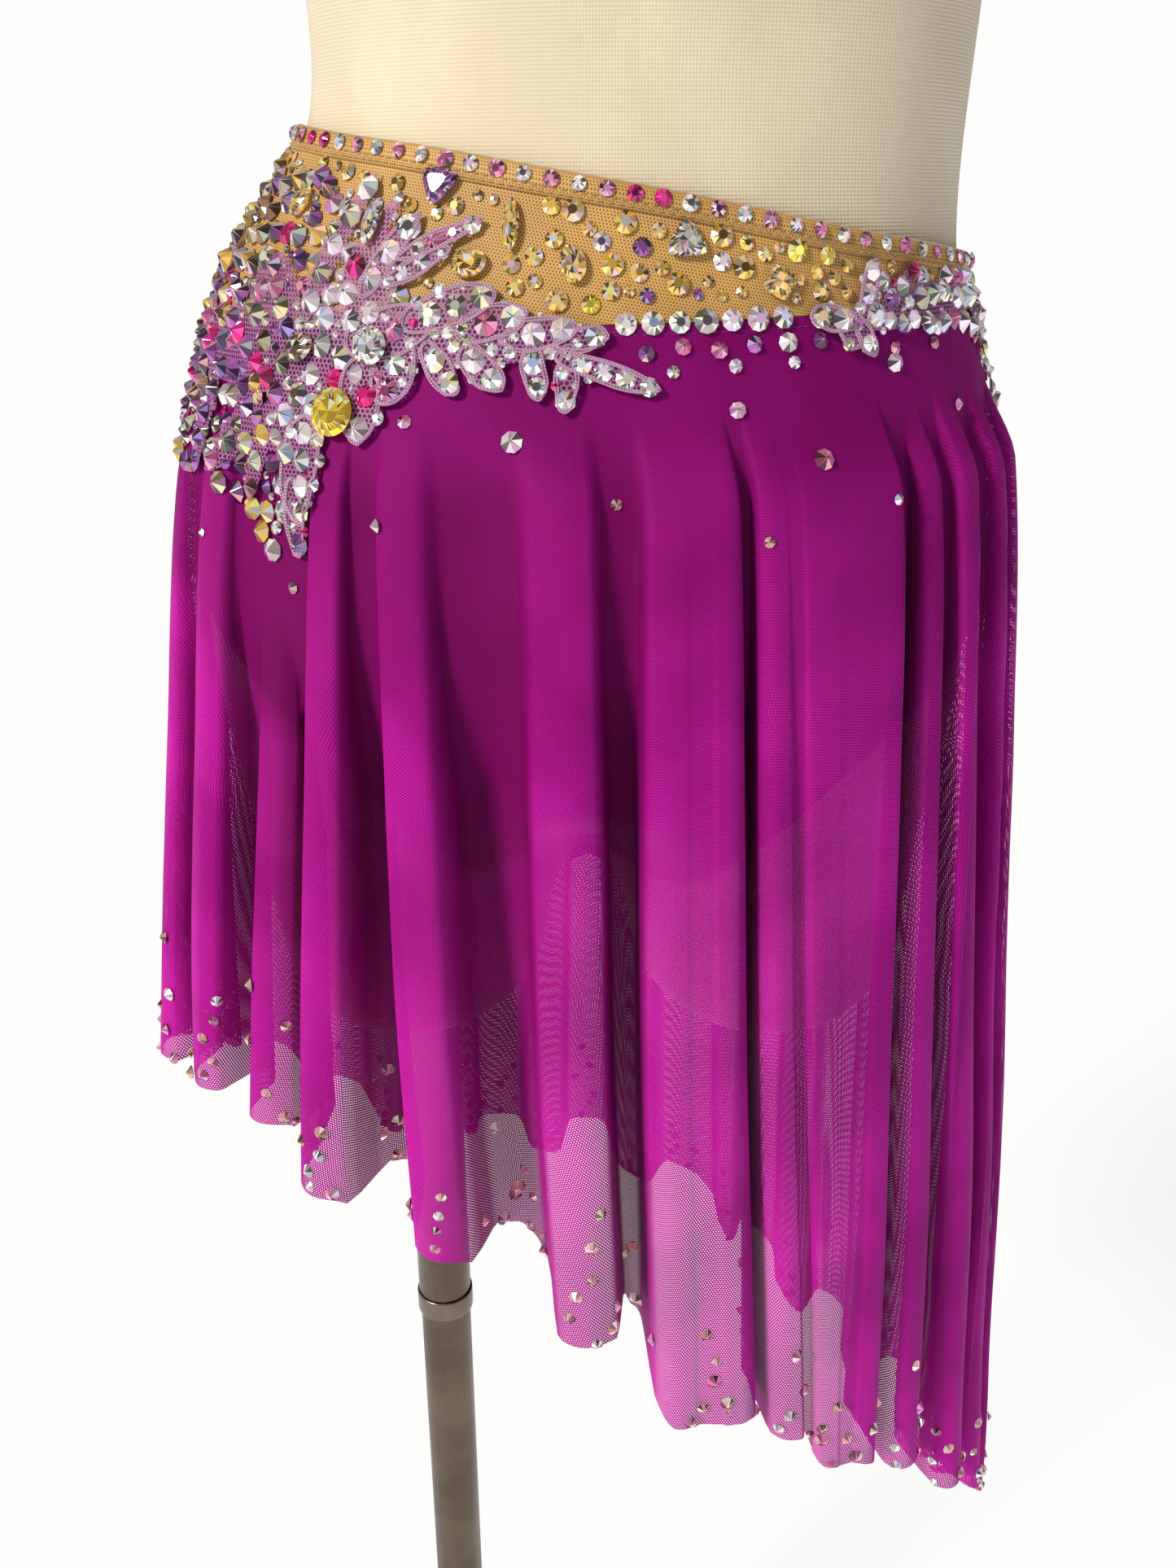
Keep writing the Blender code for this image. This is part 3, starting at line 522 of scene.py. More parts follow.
def makeJerseyLook():
    graph = Graph("creamJersey")
    where = graph.cloth()
    place = where * (math.tau / jersey["wale"], math.tau / jersey["course"], 0.0)
    height = place.axis(0).sine() * 0.5 + place.axis(1).sine()
    patch = graph.noise(where, jersey["patch"], 4.0).between(0.35, 0.7)
    knit = height.between(-1.2, 0.6)
    # The knit's grooves take the shade colour as painted shade, and random patches vary the tone
    # towards it.
    colour = (patch * 0.5 + knit * 0.5).blend(jersey["shade"], jersey["colour"])
    # Painted light: under the skirt the jersey turns rosy, for the light that the purple mesh colours.
    return graph.finishCloth(jersey, graph.painted("under").blend(colour, jersey["rosyLight"]), height)


lace = {
    "net": rgba(0.30, 0.08, 0.25), "cordShade": rgba(0.30, 0.09, 0.25),
    "pitch": 0.0017, "hole": 0.36, "soft": 0.07, "open": 0.85, "patch": 90.0,
    "roughness": 0.5, "sheen": 0.3, "bump": (0.5, 0.0004),
    "gap": 0.0011, "wall": 0.0013, "metresPerDegree": 0.0024, "grid": 0.003,
    "leastShare": 0.301,  # of its rectangle that the leaves take
}
laceMiddle = lace["gap"] + lace["wall"] * 0.5  # off the skirt
cord = {
    "colour": rgba(0.62, 0.36, 0.52), "strand": 0.0011, "strands": 2,
    "roughness": 0.42, "sheen": 0.6, "bump": (0.6, 0.0002),
    "radius": 0.00036, "sides": 6, "step": 0.0011, "insets": (0.0003, 0.0010), "sunk": 0.8,
    "wobble": 0.00028, "waves": (5, 4),  # so that no cord is drawn with a ruler
    "phases": (1.7, 900), "probe": 0.65,  # and where along a leaf it is looked for under stones
}


def makeNetLook():
    graph = Graph("lilacNet")
    where = graph.cloth()
    distance, hole = graph.net(where, lace)
    colour = graph.noise(where, lace["patch"]).blend(lace["net"], lace["cordShade"])
    return graph.finishCloth(lace, colour, distance, {"Alpha": 1 - hole * lace["open"]})


def makeCordLook():
    graph = Graph("lilacCord")
    where = graph.cloth()
    twist = (where * (math.tau / cord["strand"], 1.0, 0.0)).axis(0)
    strands = (twist + where.axis(1) * math.tau * cord["strands"]).sine()
    # Painted shade: the grooves between the twisted strands take the shade colour.
    colour = strands.between(-1.0, 0.5).blend(lace["cordShade"], cord["colour"])
    return graph.finishCloth(cord, colour, strands)


def makeThreadLook(name, colour):
    graph = Graph(name)
    fuzz = graph.noise(graph.node("NewGeometry"), 900.0).between(0.3, 0.7)
    shade = rgba(*(part * 0.7 for part in colour[:3]))
    return graph.finish({"Base Color": fuzz.blend(colour, shade), "Roughness": 0.55})


def makeCrystalLook():
    graph = Graph("crystal")
    tint = graph.painted("facet", 0)
    return graph.finish({
        "Base Color": tint,
        "Metallic": 0.7,
        "Roughness": 0.10,
        "Coat Weight": 0.45,
        "Coat Roughness": 0.02,
        "Specular IOR Level": 0.6,
        "Emission Color": tint,
        "Emission Strength": 0.18,  # light thrown back from inside the stone
    })


def makeMetalLook(name, light, dark, roughness):
    graph = Graph(name)
    spot = graph.spot()
    streaks = graph.noise(spot * (400.0, 400.0, 9.0), 1.0, 6.0)
    blotch = graph.noise(spot, 26.0, 3.0).between(0.35, 0.7)
    return graph.finish({
        "Base Color": (streaks * 0.55 + blotch * 0.45).blend(dark, light),
        "Metallic": 1.0,
        "Roughness": streaks.between(0.3, 0.7, roughness - 0.08, roughness + 0.10),
        "Normal": graph.bump(streaks, 0.15, 0.0002),
    })


def makeWoodLook():
    graph = Graph("turnedWood")
    rings = graph.noise(graph.spot() * (60.0, 60.0, 240.0), 1.0, 5.0)
    return graph.finish({
        "Base Color": rings.between(0.3, 0.7).blend(rgba(0.30, 0.16, 0.07), rgba(0.46, 0.27, 0.12)),
        "Roughness": 0.38,
        "Coat Weight": 0.4,
        "Normal": graph.bump(rings, 0.1, 0.0003),
    })


looks = {
    "mesh": makeMeshLook(), "tan": makeTanLook(), "brief": makeBriefLook(),
    "jersey": makeJerseyLook(), "net": makeNetLook(), "cord": makeCordLook(),
    "crystal": makeCrystalLook(),
    "tanThread": makeThreadLook("tanThread", rgba(0.50, 0.31, 0.12)),
    "purpleThread": makeThreadLook("purpleThread", rgba(0.24, 0.006, 0.20)),
    "metal": makeMetalLook("brushedMetal", rgba(0.20, 0.155, 0.115), rgba(0.10, 0.076, 0.055), 0.36),
    "brightMetal": makeMetalLook("wornRing", rgba(0.30, 0.25, 0.20), rgba(0.13, 0.10, 0.075), 0.34),
    "wood": makeWoodLook(),
}
print("looks made:", len(looks))


# Meshes
def dress(name, mesh, look, slot, *nodes):
    piece = link(name, mesh)
    mesh.materials.append(looks[look])
    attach(piece, "root")
    if nodes:
        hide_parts(*nodes)
    return piece


def meshFrom(name, points, faces, smooth=True):
    mesh = bpy.data.meshes.new(name)
    mesh.from_pydata(np.asarray(points, float).reshape(-1, 3).tolist(), [], faces)
    if smooth:
        mesh.shade_smooth()
    return mesh


def facedOut(mesh, merge=0.0):
    # The mesh with its double points joined and its faces all turned out.
    work = bmesh.new()
    work.from_mesh(mesh)
    if merge:
        bmesh.ops.remove_doubles(work, verts=work.verts, dist=merge)
    bmesh.ops.recalc_face_normals(work, faces=work.faces)
    work.to_mesh(mesh)
    work.free()


def gridFaces(rows, columns, closed=False):
    r, c = np.meshgrid(np.arange(rows - 1), np.arange(columns if closed else columns - 1),
                       indexing="ij")
    after = (c + 1) % columns
    quads = np.stack([r * columns + c, (r + 1) * columns + c,
                      (r + 1) * columns + after, r * columns + after], -1)
    return quads.reshape(-1, 4).tolist()


def setCloth(mesh, flat):
    # The cloth map, in metres, from one flat place for each point.
    layer = mesh.uv_layers.new(name="cloth")
    corner = np.zeros(len(mesh.loops), int)
    mesh.loops.foreach_get("vertex_index", corner)
    layer.data.foreach_set("uv", np.asarray(flat, float).reshape(-1, 2)[corner].ravel())


def setShare(mesh, name, values):
    mesh.attributes.new(name, "FLOAT", "POINT").data.foreach_set("value", values.ravel())


def runLengths(points, axis=0):
    step = np.linalg.norm(np.diff(points, axis=axis), axis=-1)
    start = np.zeros_like(np.take(step, [0], axis=axis))
    return np.concatenate([start, np.cumsum(step, axis=axis)], axis=axis)


def clothGrid(name, points, ringRadius=0.0):
    # A single sheet over rows and columns of points, mapped by its own lengths. With a radius
    # it is part of a ring, as a circle skirt is cut.
    rows, columns = points.shape[:2]
    mesh = meshFrom(name, points, gridFaces(rows, columns))
    across, down = runLengths(points, 1), runLengths(points)
    across = across - across[:, [int(0.5 * (columns - 1))]]
    if ringRadius:
        radius = ringRadius + down
        across, down = radius * np.sin(across / radius), radius * np.cos(across / radius)
    setCloth(mesh, np.stack([across, -down], -1))
    return mesh


def areaOf(mesh):
    return sum(face.area for face in mesh.polygons)


def layCloth(name, mesh, look, slot, node, area):
    piece = dress(name, mesh, look, slot, node)
    print(name, "area", round(areaOf(mesh), 5))


def ownArea(mesh, flat):
    return min(areaOf(mesh), flat[0] * flat[1])


# The skirt: each panel's columns follow its folds
def skirtPanel(name, table, node, flat, ringRadius):
    t = np.linspace(0, 1, skirt["rows"])[:, None] ** skirt["crowding"]
    seam, hem = np.array(table["seam"], float), np.array(table["hem"], float)
    crests = seam + (hem - seam) * t
    steps = np.arange(skirt["columnsPerFold"]) / skirt["columnsPerFold"]
    angles = (crests[:, :-1, None] + np.diff(crests, axis=1)[..., None] * steps).reshape(len(t), -1)
    angles = np.concatenate([angles, crests[:, -1:]], 1)
    angles[:, 0] += skirt["sideGap"]
    angles[:, -1] -= skirt["sideGap"]
    top = roundLine(seamLine, angles) + skirt["seamGap"]
    drops = top + (roundLine(hemLine, angles) - top) * t
    flutter = sum(np.sin(np.radians(angles) * turns + start)
                  for turns, start in skirt["flutter"]) / 2
    lift = skirt["wall"] / 2 + skirt["hemWave"] * flutter * t ** skirt["hemOnly"]
    mesh = clothGrid(name, lifted(skirtPoint, angles, drops, lift), ringRadius)
    # Painted shade: the fold valleys, less towards the hem, and the mesh that lies on the brief are
    # darkened in the cloth's colour.
    shade, close = skirtShade(angles, drops)
    shade = shade * (1 - skirt["openBelow"] * t ** 2) + close * skirt["shadeOnBrief"]
    # Painted light: a glow that grows towards the hem stands for light that comes through the mesh
    # there.
    light = ease((t - skirt["lightStart"]) / skirt["lightFade"]) * np.ones_like(drops)
    setShare(mesh, "foldShade", np.clip(shade, 0, 1))
    setShare(mesh, "light", light)
    layCloth(name, mesh, "mesh", "mesh", node, ownArea(mesh, flat))


skirtPanel("meshSkirtFront", frontFolds, "skirt_front", (1.04, 0.52), 0.191)
skirtPanel("meshSkirtBack", backFolds, "skirt_back", (0.87, 0.64), 0.268)


yoke = {
    "rows": 14, "columns": 150, "bindingHeight": 0.0075, "bindingWall": 0.0018,
    "underBinding": 0.0015, "seamGap": 0.0002,
    # The casing's outline: shares of its height and thickness, rounded at its top
    "outline": ((1.0, 0.0), (1.0, 1.0), (0.75, 1.06), (0.35, 1.04), (0.08, 0.92), (-0.04, 0.5),
                (0.08, 0.1), (0.35, 0.0), (0.75, 0.0)),
    "rounding": 0.0002, "casing": (0.69, 0.018), "metresPerDegree": 0.0022,
}


def halfAngles(start, count):
    # Angles from one side seam to the other.
    return np.linspace(start + 0.07, start + 179.93, count)


def yokePanel(name, start, node, flat):
    angles = halfAngles(start, yoke["columns"])
    top = roundLine(topEdge, angles) + yoke["bindingHeight"] - yoke["underBinding"]
    bottom = roundLine(seamLine, angles) - yoke["seamGap"]
    drops = top + (bottom - top) * np.linspace(0, 1, yoke["rows"])[:, None]
    mesh = clothGrid(name, lifted(skirtPoint, np.broadcast_to(angles, drops.shape), drops,
                                  skirt["wall"] / 2))
    layCloth(name, mesh, "tan", "tan_mesh", node, ownArea(mesh, flat))


yokePanel("tanYokeFront", -90, "yoke_front", (0.37, 0.065))
yokePanel("tanYokeBack", 90, "yoke_back", (0.37, 0.065))


def waistBinding():
    # A folded casing, flat at its foot.
    angles = np.linspace(-180, 180, 361)[:-1]
    rows = []
    for share, thick in yoke["outline"] + yoke["outline"][:1]:
        drop = roundLine(topEdge, angles) + share * yoke["bindingHeight"]
        lift = yoke["rounding"] + thick * (yoke["bindingWall"] - 2 * yoke["rounding"])
        rows.append(lifted(skirtPoint, angles, drop, lift + np.zeros_like(angles)))
    mesh = meshFrom("waistBinding", np.array(rows), gridFaces(len(rows), len(angles), closed=True))
    setCloth(mesh, np.stack(np.meshgrid(angles * yoke["metresPerDegree"],
                                        np.linspace(0, 0.02, len(rows))), -1))
    facedOut(mesh, 1e-6)
    width, height = yoke["casing"]  # half of it lies folded behind the half that shows
    layCloth("waistBinding", mesh, "tan", "tan_mesh", "waist_binding",
             width * height / 2)


waistBinding()


def tubeParts(path, out, radius, sides, closed):
    # Points, faces and flat places of a tube along a path, with out the way its top faces.
    ahead = np.roll(path, -1, 0) - np.roll(path, 1, 0)
    if not closed:
        ahead[0], ahead[-1] = path[1] - path[0], path[-1] - path[-2]
    ahead = unit(ahead)
    side = unit(np.cross(out, ahead))
    top = np.cross(ahead, side)
    turn = np.linspace(0, math.tau, sides, endpoint=False)
    ring = path[:, None] + radius * (np.cos(turn)[None, :, None] * top[:, None]
                                     + np.sin(turn)[None, :, None] * side[:, None])
    n = len(path)
    faces = []
    for i in range(n if closed else n - 1):
        j = (i + 1) % n
        for k in range(sides):
            m = (k + 1) % sides
            faces.append([i * sides + k, i * sides + m, j * sides + m, j * sides + k])
    if not closed:
        faces += [list(range(sides))[::-1], [(n - 1) * sides + k for k in range(sides)]]
    flat = np.stack([np.repeat(runLengths(path), sides), np.tile(turn / math.tau, n)], -1)
    return ring.reshape(-1, 3), faces, flat


def layTubes(name, tubes, look, slot):
    # Many tubes as one piece.
    points, faces, flats, start = [], [], [], 0
    for tube in tubes:
        points.append(tube[0])
        faces += [[i + start for i in face] for face in tube[1]]
        flats.append(tube[2])
        start += len(tube[0])
    mesh = meshFrom(name, np.concatenate(points), faces)
    setCloth(mesh, np.concatenate(flats))
    dress(name, mesh, look, slot)


stitches = {
    "length": 0.0023, "gap": 0.0009, "radius": 0.00018, "sides": 5,
    "dip": (-0.00025, 0.0, 0.00008, 0.0, -0.00025),
    "rows": (0.70, 0.90), "offBinding": 0.0002, "underSeam": 0.0032, "offSkirt": 0.0001,
}


def stitchRow(line, lift):
    # Short threads along a line round the body, each dipping at its ends.
    angles = np.linspace(-180, 180, 1441)
    run = runLengths(skirtPoint(angles, line(angles)))
    pitch, dip = stitches["length"] + stitches["gap"], np.array(stitches["dip"])
    tubes = []
    for k in range(int(run[-1] / pitch)):
        spots = np.interp(k * pitch + np.linspace(0, stitches["length"], len(dip)), run, angles)
        path, out = standing(skirtPoint, spots, line(spots), lift + dip, 0.001)
        tubes.append(tubeParts(path, out, stitches["radius"], stitches["sides"], False))
    return tubes


bindingRows = []
for share in stitches["rows"]:
    bindingRows += stitchRow(lineAt(topEdge, share * yoke["bindingHeight"]),
                             yoke["bindingWall"] + stitches["offBinding"])
layTubes("bindingStitches", bindingRows, "tanThread", "tan_mesh")
layTubes("seamStitches", stitchRow(lineAt(seamLine, stitches["underSeam"]),
                                   skirt["wall"] / 2 + stitches["offSkirt"]), "purpleThread", "mesh")


# The brief, seen through the mesh
brief = {
    "top": 0.002, "lift": 0.0007, "ease": 0.0025, "wall": 0.0010, "rows": 60, "columns": 160,
    "band": 0.0075, "bandWall": 0.0006, "bandStep": 0.0008, "bandEnd": 0.0015,
}


def briefPoint(angle, drop):
    loose = ease((np.asarray(drop) - form["creaseStart"]) / form["creaseWidth"] + 0.5)
    return lifted(bodyPoint, angle, drop, brief["lift"] + brief["ease"] * loose)


def briefPanel(name, start, node, flat):
    angles = halfAngles(start, brief["columns"])
    top, bottom = roundLine(seamLine, angles) + brief["top"], roundLine(legLine, angles)
    drops = top + (bottom - top) * np.linspace(0, 1, brief["rows"])[:, None]
    band = (ease((drops - bottom + brief["band"]) / brief["bandStep"])
            * ease((bottom - drops) / brief["bandEnd"]) * brief["bandWall"])
    mesh = clothGrid(name, lifted(briefPoint, np.broadcast_to(angles, drops.shape), drops,
                                  brief["wall"] * 0.5 + band))
    layCloth(name, mesh, "brief", "brief", node, ownArea(mesh, flat))


briefPanel("briefFront", -90, "brief_front", (0.40, 0.27))
briefPanel("briefBack", 90, "brief_back", (0.42, 0.28))


copied = {
    "pairing": 3.1, "rim": 0.45, "sharp": 0.9,  # triangles are paired, and the neck's rim kept
    "radius": 0.135,  # that the cloth map takes
    "underTop": 0.15, "underFade": 0.04, "legFade": 0.02, "rosyLight": 0.20, "rosyLeg": 0.68,
}


def softCopy(name, node, look, slot, levels):
    # A smooth copy of a solid, its triangles paired into quads and subdivided.
    work = bmesh.new()
    work.from_mesh(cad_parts[node].data)
    bmesh.ops.remove_doubles(work, verts=work.verts, dist=1e-5)
    bmesh.ops.join_triangles(work, faces=work.faces, angle_face_threshold=copied["pairing"],
                             angle_shape_threshold=copied["pairing"])
    crease = work.edges.layers.float.new("crease_edge")
    rim = waistHeight + copied["rim"]
    for edge in work.edges:  # the neck's rim stays sharp under its cap
        if min(v.co.z for v in edge.verts) > rim and edge.calc_face_angle(0) > copied["sharp"]:
            edge[crease] = 1.0
    mesh = bpy.data.meshes.new(name)
    work.to_mesh(mesh)
    work.free()
    mesh.shade_smooth()
    piece = dress(name, mesh, look, slot, node)
    smoother = piece.modifiers.new("smooth", "SUBSURF")
    smoother.levels = smoother.render_levels = levels
    with bpy.context.temp_override(object=piece, active_object=piece):
        bpy.ops.object.modifier_apply(modifier="smooth")
    points = np.array([v.co for v in piece.data.vertices])
    x, y = points[:, 0] - shift[0], points[:, 1] - shift[1]
    setCloth(piece.data, np.stack([np.arctan2(x, -y) * copied["radius"], points[:, 2]], -1))
    # Painted light: under the skirt the jersey is tinted rosy for the light that the mesh colours,
    # more on the leg that the folds shade.
    below = ease((waistHeight - copied["underTop"] - points[:, 2]) / copied["underFade"])
    oneLeg = 1 - ease((x + copied["legFade"] / 2) / copied["legFade"])  # that the folds shade
    setShare(piece.data, "under", below * (copied["rosyLight"] + copied["rosyLeg"] * oneLeg))
    return piece


softCopy("jerseyForm", "form_body", "jersey", "jersey", 2)
gusset = softCopy("briefGusset", "brief_gusset", "brief", "brief", 1)
print("cloths and form made")


# Turned pieces of the stand
def rounded(profile, radius):
    # A profile with each corner but the ends cut by a small arc.
    profile = [np.array(p, float) for p in profile]
    points = [profile[0]]
    for before, here, after in zip(profile, profile[1:], profile[2:]):
        cut = min(radius, np.linalg.norm(here - before) / 2.2, np.linalg.norm(after - here) / 2.2)
        one, two = here + unit(before - here) * cut, here + unit(after - here) * cut
        points += [one + (here - one) * 2 * t * (1 - t) + (two - one) * t * t
                   for t in (0.0, 0.25, 0.5, 0.75, 1.0)]
    return points + [profile[-1]]


def turnedPiece(name, node, look, profile, inset, slot="metal", sides=96):
    profile = np.array(rounded(profile, inset), float)
    middle = boxMiddle(node)
    turn = np.linspace(0, math.tau, sides, endpoint=False)
    x = middle[0] + profile[:, 0, None] * np.cos(turn)
    y = middle[1] + profile[:, 0, None] * np.sin(turn)
    z = np.broadcast_to(profile[:, 1, None], x.shape)
    mesh = meshFrom(name, np.stack([x, y, z], -1), gridFaces(len(profile), sides, closed=True))
    facedOut(mesh, 1e-7)
    mesh.shade_smooth()
    mesh.set_sharp_from_angle(angle=math.radians(32))
    dress(name, mesh, look, slot, node)


stand = {  # each rod or ring fills its solid's box, with its edges rounded
    "name": ("poleUpper", "poleLower", "poleRing", "poleSocket"),
    "node": ("pole_upper", "pole_lower", "pole_ring", "pole_socket"),
    "look": ("metal", "metal", "brightMetal", "metal"),
    "inset": mm(0.6, 0.6, 1.0, 0.8),
    # Inwards from the plate's rim, then radii up its hub, and the cap's radii, with heights
    "plate": ((0.002, 0), (0, 0.002), (0, 0.007), (0.002, 0.009)),
    "hub": ((0.060, 0.0095), (0.034, 0.011), (0.026, 0.016), (0.022, 0.022)),
    "cap": ((0.050, 0), (0.052, 0.003), (0.0515, 0.007), (0.046, 0.0125), (0.036, 0.0165),
            (0.020, 0.0190)),
}
for name, node, look, inset in zip(*(stand[c] for c in ("name", "node", "look", "inset"))):
    low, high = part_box(node)
    radius = (high.x - low.x) / 2
    turnedPiece(name, node, look, [(0, low.z), (radius, low.z), (radius, high.z), (0, high.z)],
                inset)
low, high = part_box("base_plate")
radius = (high.y - low.y) / 2
turnedPiece("basePlate", "base_plate", "metal",
            [(0, 0), *((radius - inward, up) for inward, up in stand["plate"]), *stand["hub"],
             (0.021, high.z - 0.001), (0.0195, high.z), (0, high.z)], 0.0012, sides=144)
low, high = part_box("neck_cap")
turnedPiece("neckCap", "neck_cap", "wood",
            [(0, low.z), *((size, low.z + up) for size, up in stand["cap"]), (0, high.z)],
            0.0018, "wood")
print("stand made")


# Lace leaves: root and tip as angle and drop, and the widest width
rightHipLeaves = {
    "rootAngle": (-116, -72, -34, -42, -36, -33, -29, -30, -26, -18, -12, -5, -5, -3, -8, -17,
                  -22, -25, -31, -39, -40, -46, -35, -43, -46, -37, -34, -60, -62, -66, -74,
                  -78, -84, -92, -96, -104, -108, -52, -48),
    "rootDrop": mm(58, 52, 46, 40, 34, 34, 22, 30, 41, 43, 45, 46, 49, 46, 46, 47, 46, 44, 50,
                   70, 90, 66, 46, 50, 62, 50, 47, 40, 60, 52, 46, 60, 52, 50, 62, 52, 58, 50,
                   66),
    "tipAngle": (-60, -30, 0, -39.5, -33, -28, -18, -21, -13, -8.5, -2, 2, 8.5, -3.5, -6.5,
                 -11, -17, -27, -30, -38, -38, -48, -29, -54, -62, -46, -21, -50, -66, -82,
                 -72, -88, -80, -104, -100, -116, -112, -56, -58),
    "tipDrop": mm(50, 45, 46, -4, 3, 8, 10, 18, 31, 37, 41, 43, 60, 67, 63, 60, 62, 66, 78, 106,
                  117, 100, 22, 22, 40, 82, 40, 74, 96, 50, 12, 86, 20, 40, 94, 52, 76, 20, 92),
    "width": mm(20, 28, 13, 11, 11, 10, 6.5, 7, 13, 11.5, 10.5, 8, 7.5, 7.5, 8, 10, 9, 16, 16,
                18, 9.5, 10, 18, 19, 20, 22, 17, 18, 14, 20, 12, 13, 12, 12, 12, 11, 10, 13, 14),
    "stems": 3,  # the first rows are stems, without a cord of their own
}
leftHipLeaves = {
    "rootAngle": (31, 38, 41, 37, 37, 43, 46, 56, 34, 66, 76, 84, 92, 98, 104, 110, 74, 90,
                  102),
    "rootDrop": mm(41, 42, 39, 41, 40, 38, 36, 35, 41, 34, 38, 46, 56, 68, 80, 88, 40, 56, 74),
    "tipAngle": (70, 41, 51, 29, 39.5, 48, 60, 72, 37, 80, 88, 97, 102, 108, 113, 116, 78, 84,
                 96),
    "tipDrop": mm(36, 21, 24, 38, 52, 44, 32, 36, 49, 44, 50, 62, 74, 84, 94, 108, 58, 74, 90),
    "width": mm(10, 8, 8, 9, 8, 8, 10, 10, 8, 11, 12, 13, 14, 13, 12, 9, 8, 8, 8),
    "stems": 1,
}
leafForm = {
    "share": (0.0, 0.14, 0.40, 0.70, 0.92, 1.0),
    "half": (0.0, 0.62, 0.95, 1.0, 0.66, 0.0),
    "tabled": 0.35, "round": 0.65, "lean": 0.8,  # how much comes from the table, and from an arch
}


def onFlat(angle, drop):
    # The place on flat lace of a place on the body.
    return np.stack([np.asarray(angle) * lace["metresPerDegree"], drop], -1)


def leafRows(table):
    roots = onFlat(table["rootAngle"], table["rootDrop"])
    tips = onFlat(table["tipAngle"], table["tipDrop"])
    return zip(range(len(roots)), roots, tips, table["width"])


def leafOutline(root, tip, width, inset=0.0, points=11):
    # A leaf between two flat places, blunt at its tip, drawn in by an inset.
    way = tip - root
    long = np.linalg.norm(way)
    way = way / long
    side = np.array([-way[1], way[0]])
    share = (1 - np.cos(np.linspace(0, np.pi, points))) / 2
    half = np.interp(share, leafForm["share"], leafForm["half"])
    arch = np.sqrt(np.maximum(np.sin(np.pi * share ** leafForm["lean"]), 0))
    half = half * leafForm["tabled"] + arch * leafForm["round"]
    half = np.maximum(half * (width / 2 - inset), 0.0)
    spine = root + way * (inset + share * (long - 2 * inset))[:, None]
    return np.concatenate([spine + side * half[:, None], (spine - side * half[:, None])[-2:0:-1]])


def insideOutline(spots, outline):
    within = np.zeros(len(spots), bool)
    for a, b in zip(np.roll(outline, 1, 0), outline):
        crosses = (a[1] > spots[:, 1]) != (b[1] > spots[:, 1])
        x = a[0] + (b[0] - a[0]) * (spots[:, 1] - a[1]) / (b[1] - a[1] + 1e-15)
        within ^= crosses & (spots[:, 0] < x)
    return within


def insideAny(spots, outlines):
    return np.any([insideOutline(spots, outline) for outline in outlines], 0)


# Patches that stones cover whole, whatever lies under them
rightPatch = onFlat(
    (-64, -52, -46, -38, -33, -30, -27, -26, -27, -28, -34, -38, -40, -42, -44, -49, -54, -62,
     -70, -82, -96, -104, -114, -116, -106, -96, -86, -78),
    mm(-5, -3, 1, 4, 8, 18, 30, 40, 52, 64, 72, 84, 96, 116, 118, 100, 98, 84, 94, 85, 94, 90,
       74, 52, 36, 20, 4, -6))
leftPatch = onFlat(
    (38, 42, 50, 58, 68, 78, 88, 96, 104, 112, 118, 116, 108, 100, 92, 84, 76, 66, 56, 46, 40),
    mm(36, 28, 27, 28, 26, 30, 40, 50, 62, 76, 94, 110, 100, 90, 80, 66, 52, 44, 44, 46, 43))


def onSkirt(flat, lift):
    # Points on the skirt for places on flat lace, and the way out from each.
    return standing(skirtPoint, flat[..., 0] / lace["metresPerDegree"], flat[..., 1],
                    skirt["wall"] + lift, 0.001)


def laceGround(name, outlines, node, flat):
    # The net within the leaves' outlines.
    spots, rims = [], []
    for outline in outlines:
        rims.append(list(range(len(spots), len(spots) + len(outline))))
        spots += [Vector(p) for p in outline]
    low, high = np.concatenate(outlines).min(0), np.concatenate(outlines).max(0)
    inner = np.stack(np.meshgrid(np.arange(low[0], high[0], lace["grid"]),
                                 np.arange(low[1], high[1], lace["grid"])), -1).reshape(-1, 2)
    spots += [Vector(p) for p in inner[insideAny(inner, outlines)]]
    made = delaunay_2d_cdt(spots, [], rims, 0, 1e-6)
    places, triangles = np.array(made[0]), np.array(made[2])
    triangles = triangles[insideAny(places[triangles].mean(1), outlines)]
    used, faces = np.unique(triangles, return_inverse=True)
    places = places[used]
    mesh = meshFrom(name, onSkirt(places, laceMiddle)[0], faces.reshape(-1, 3).tolist())
    setCloth(mesh, places)
    facedOut(mesh)
    layCloth(name, mesh, "net", "lace", node,
             max(areaOf(mesh), lace["leastShare"] * flat[0] * flat[1]))


def wobble(leaf, inset, count):
    turn = np.linspace(0, math.tau, count, endpoint=False)
    phase = leaf * cord["phases"][0] + inset * cord["phases"][1]
    one, two = cord["waves"]
    return cord["wobble"] * np.stack([np.sin(turn * one + phase), np.cos(turn * two - phase)], -1)


def laceCords(name, table, patch):
    # Two cords round each leaf that isn't hidden under packed stones.
    tubes = []
    for leaf, root, tip, width in leafRows(table):
        probe = root + (tip - root) * cord["probe"]
        if leaf < table["stems"] or insideOutline(probe[None], patch)[0]:
            continue
        for inset in cord["insets"]:
            outline = leafOutline(root, tip, width, inset, 21)
            outline = outline + wobble(leaf, inset, len(outline))
            closed = np.concatenate([outline, outline[:1]])
            run = runLengths(closed)
            count = max(12, int(run[-1] / cord["step"]))
            s = np.linspace(0, run[-1], count, endpoint=False)
            path = np.stack([np.interp(s, run, closed[:, 0]), np.interp(s, run, closed[:, 1])], -1)
            on, out = onSkirt(path, laceMiddle + cord["radius"] * cord["sunk"])
            tubes.append(tubeParts(on, out, cord["radius"], cord["sides"], True))
    layTubes(name, tubes, "cord", "lace")


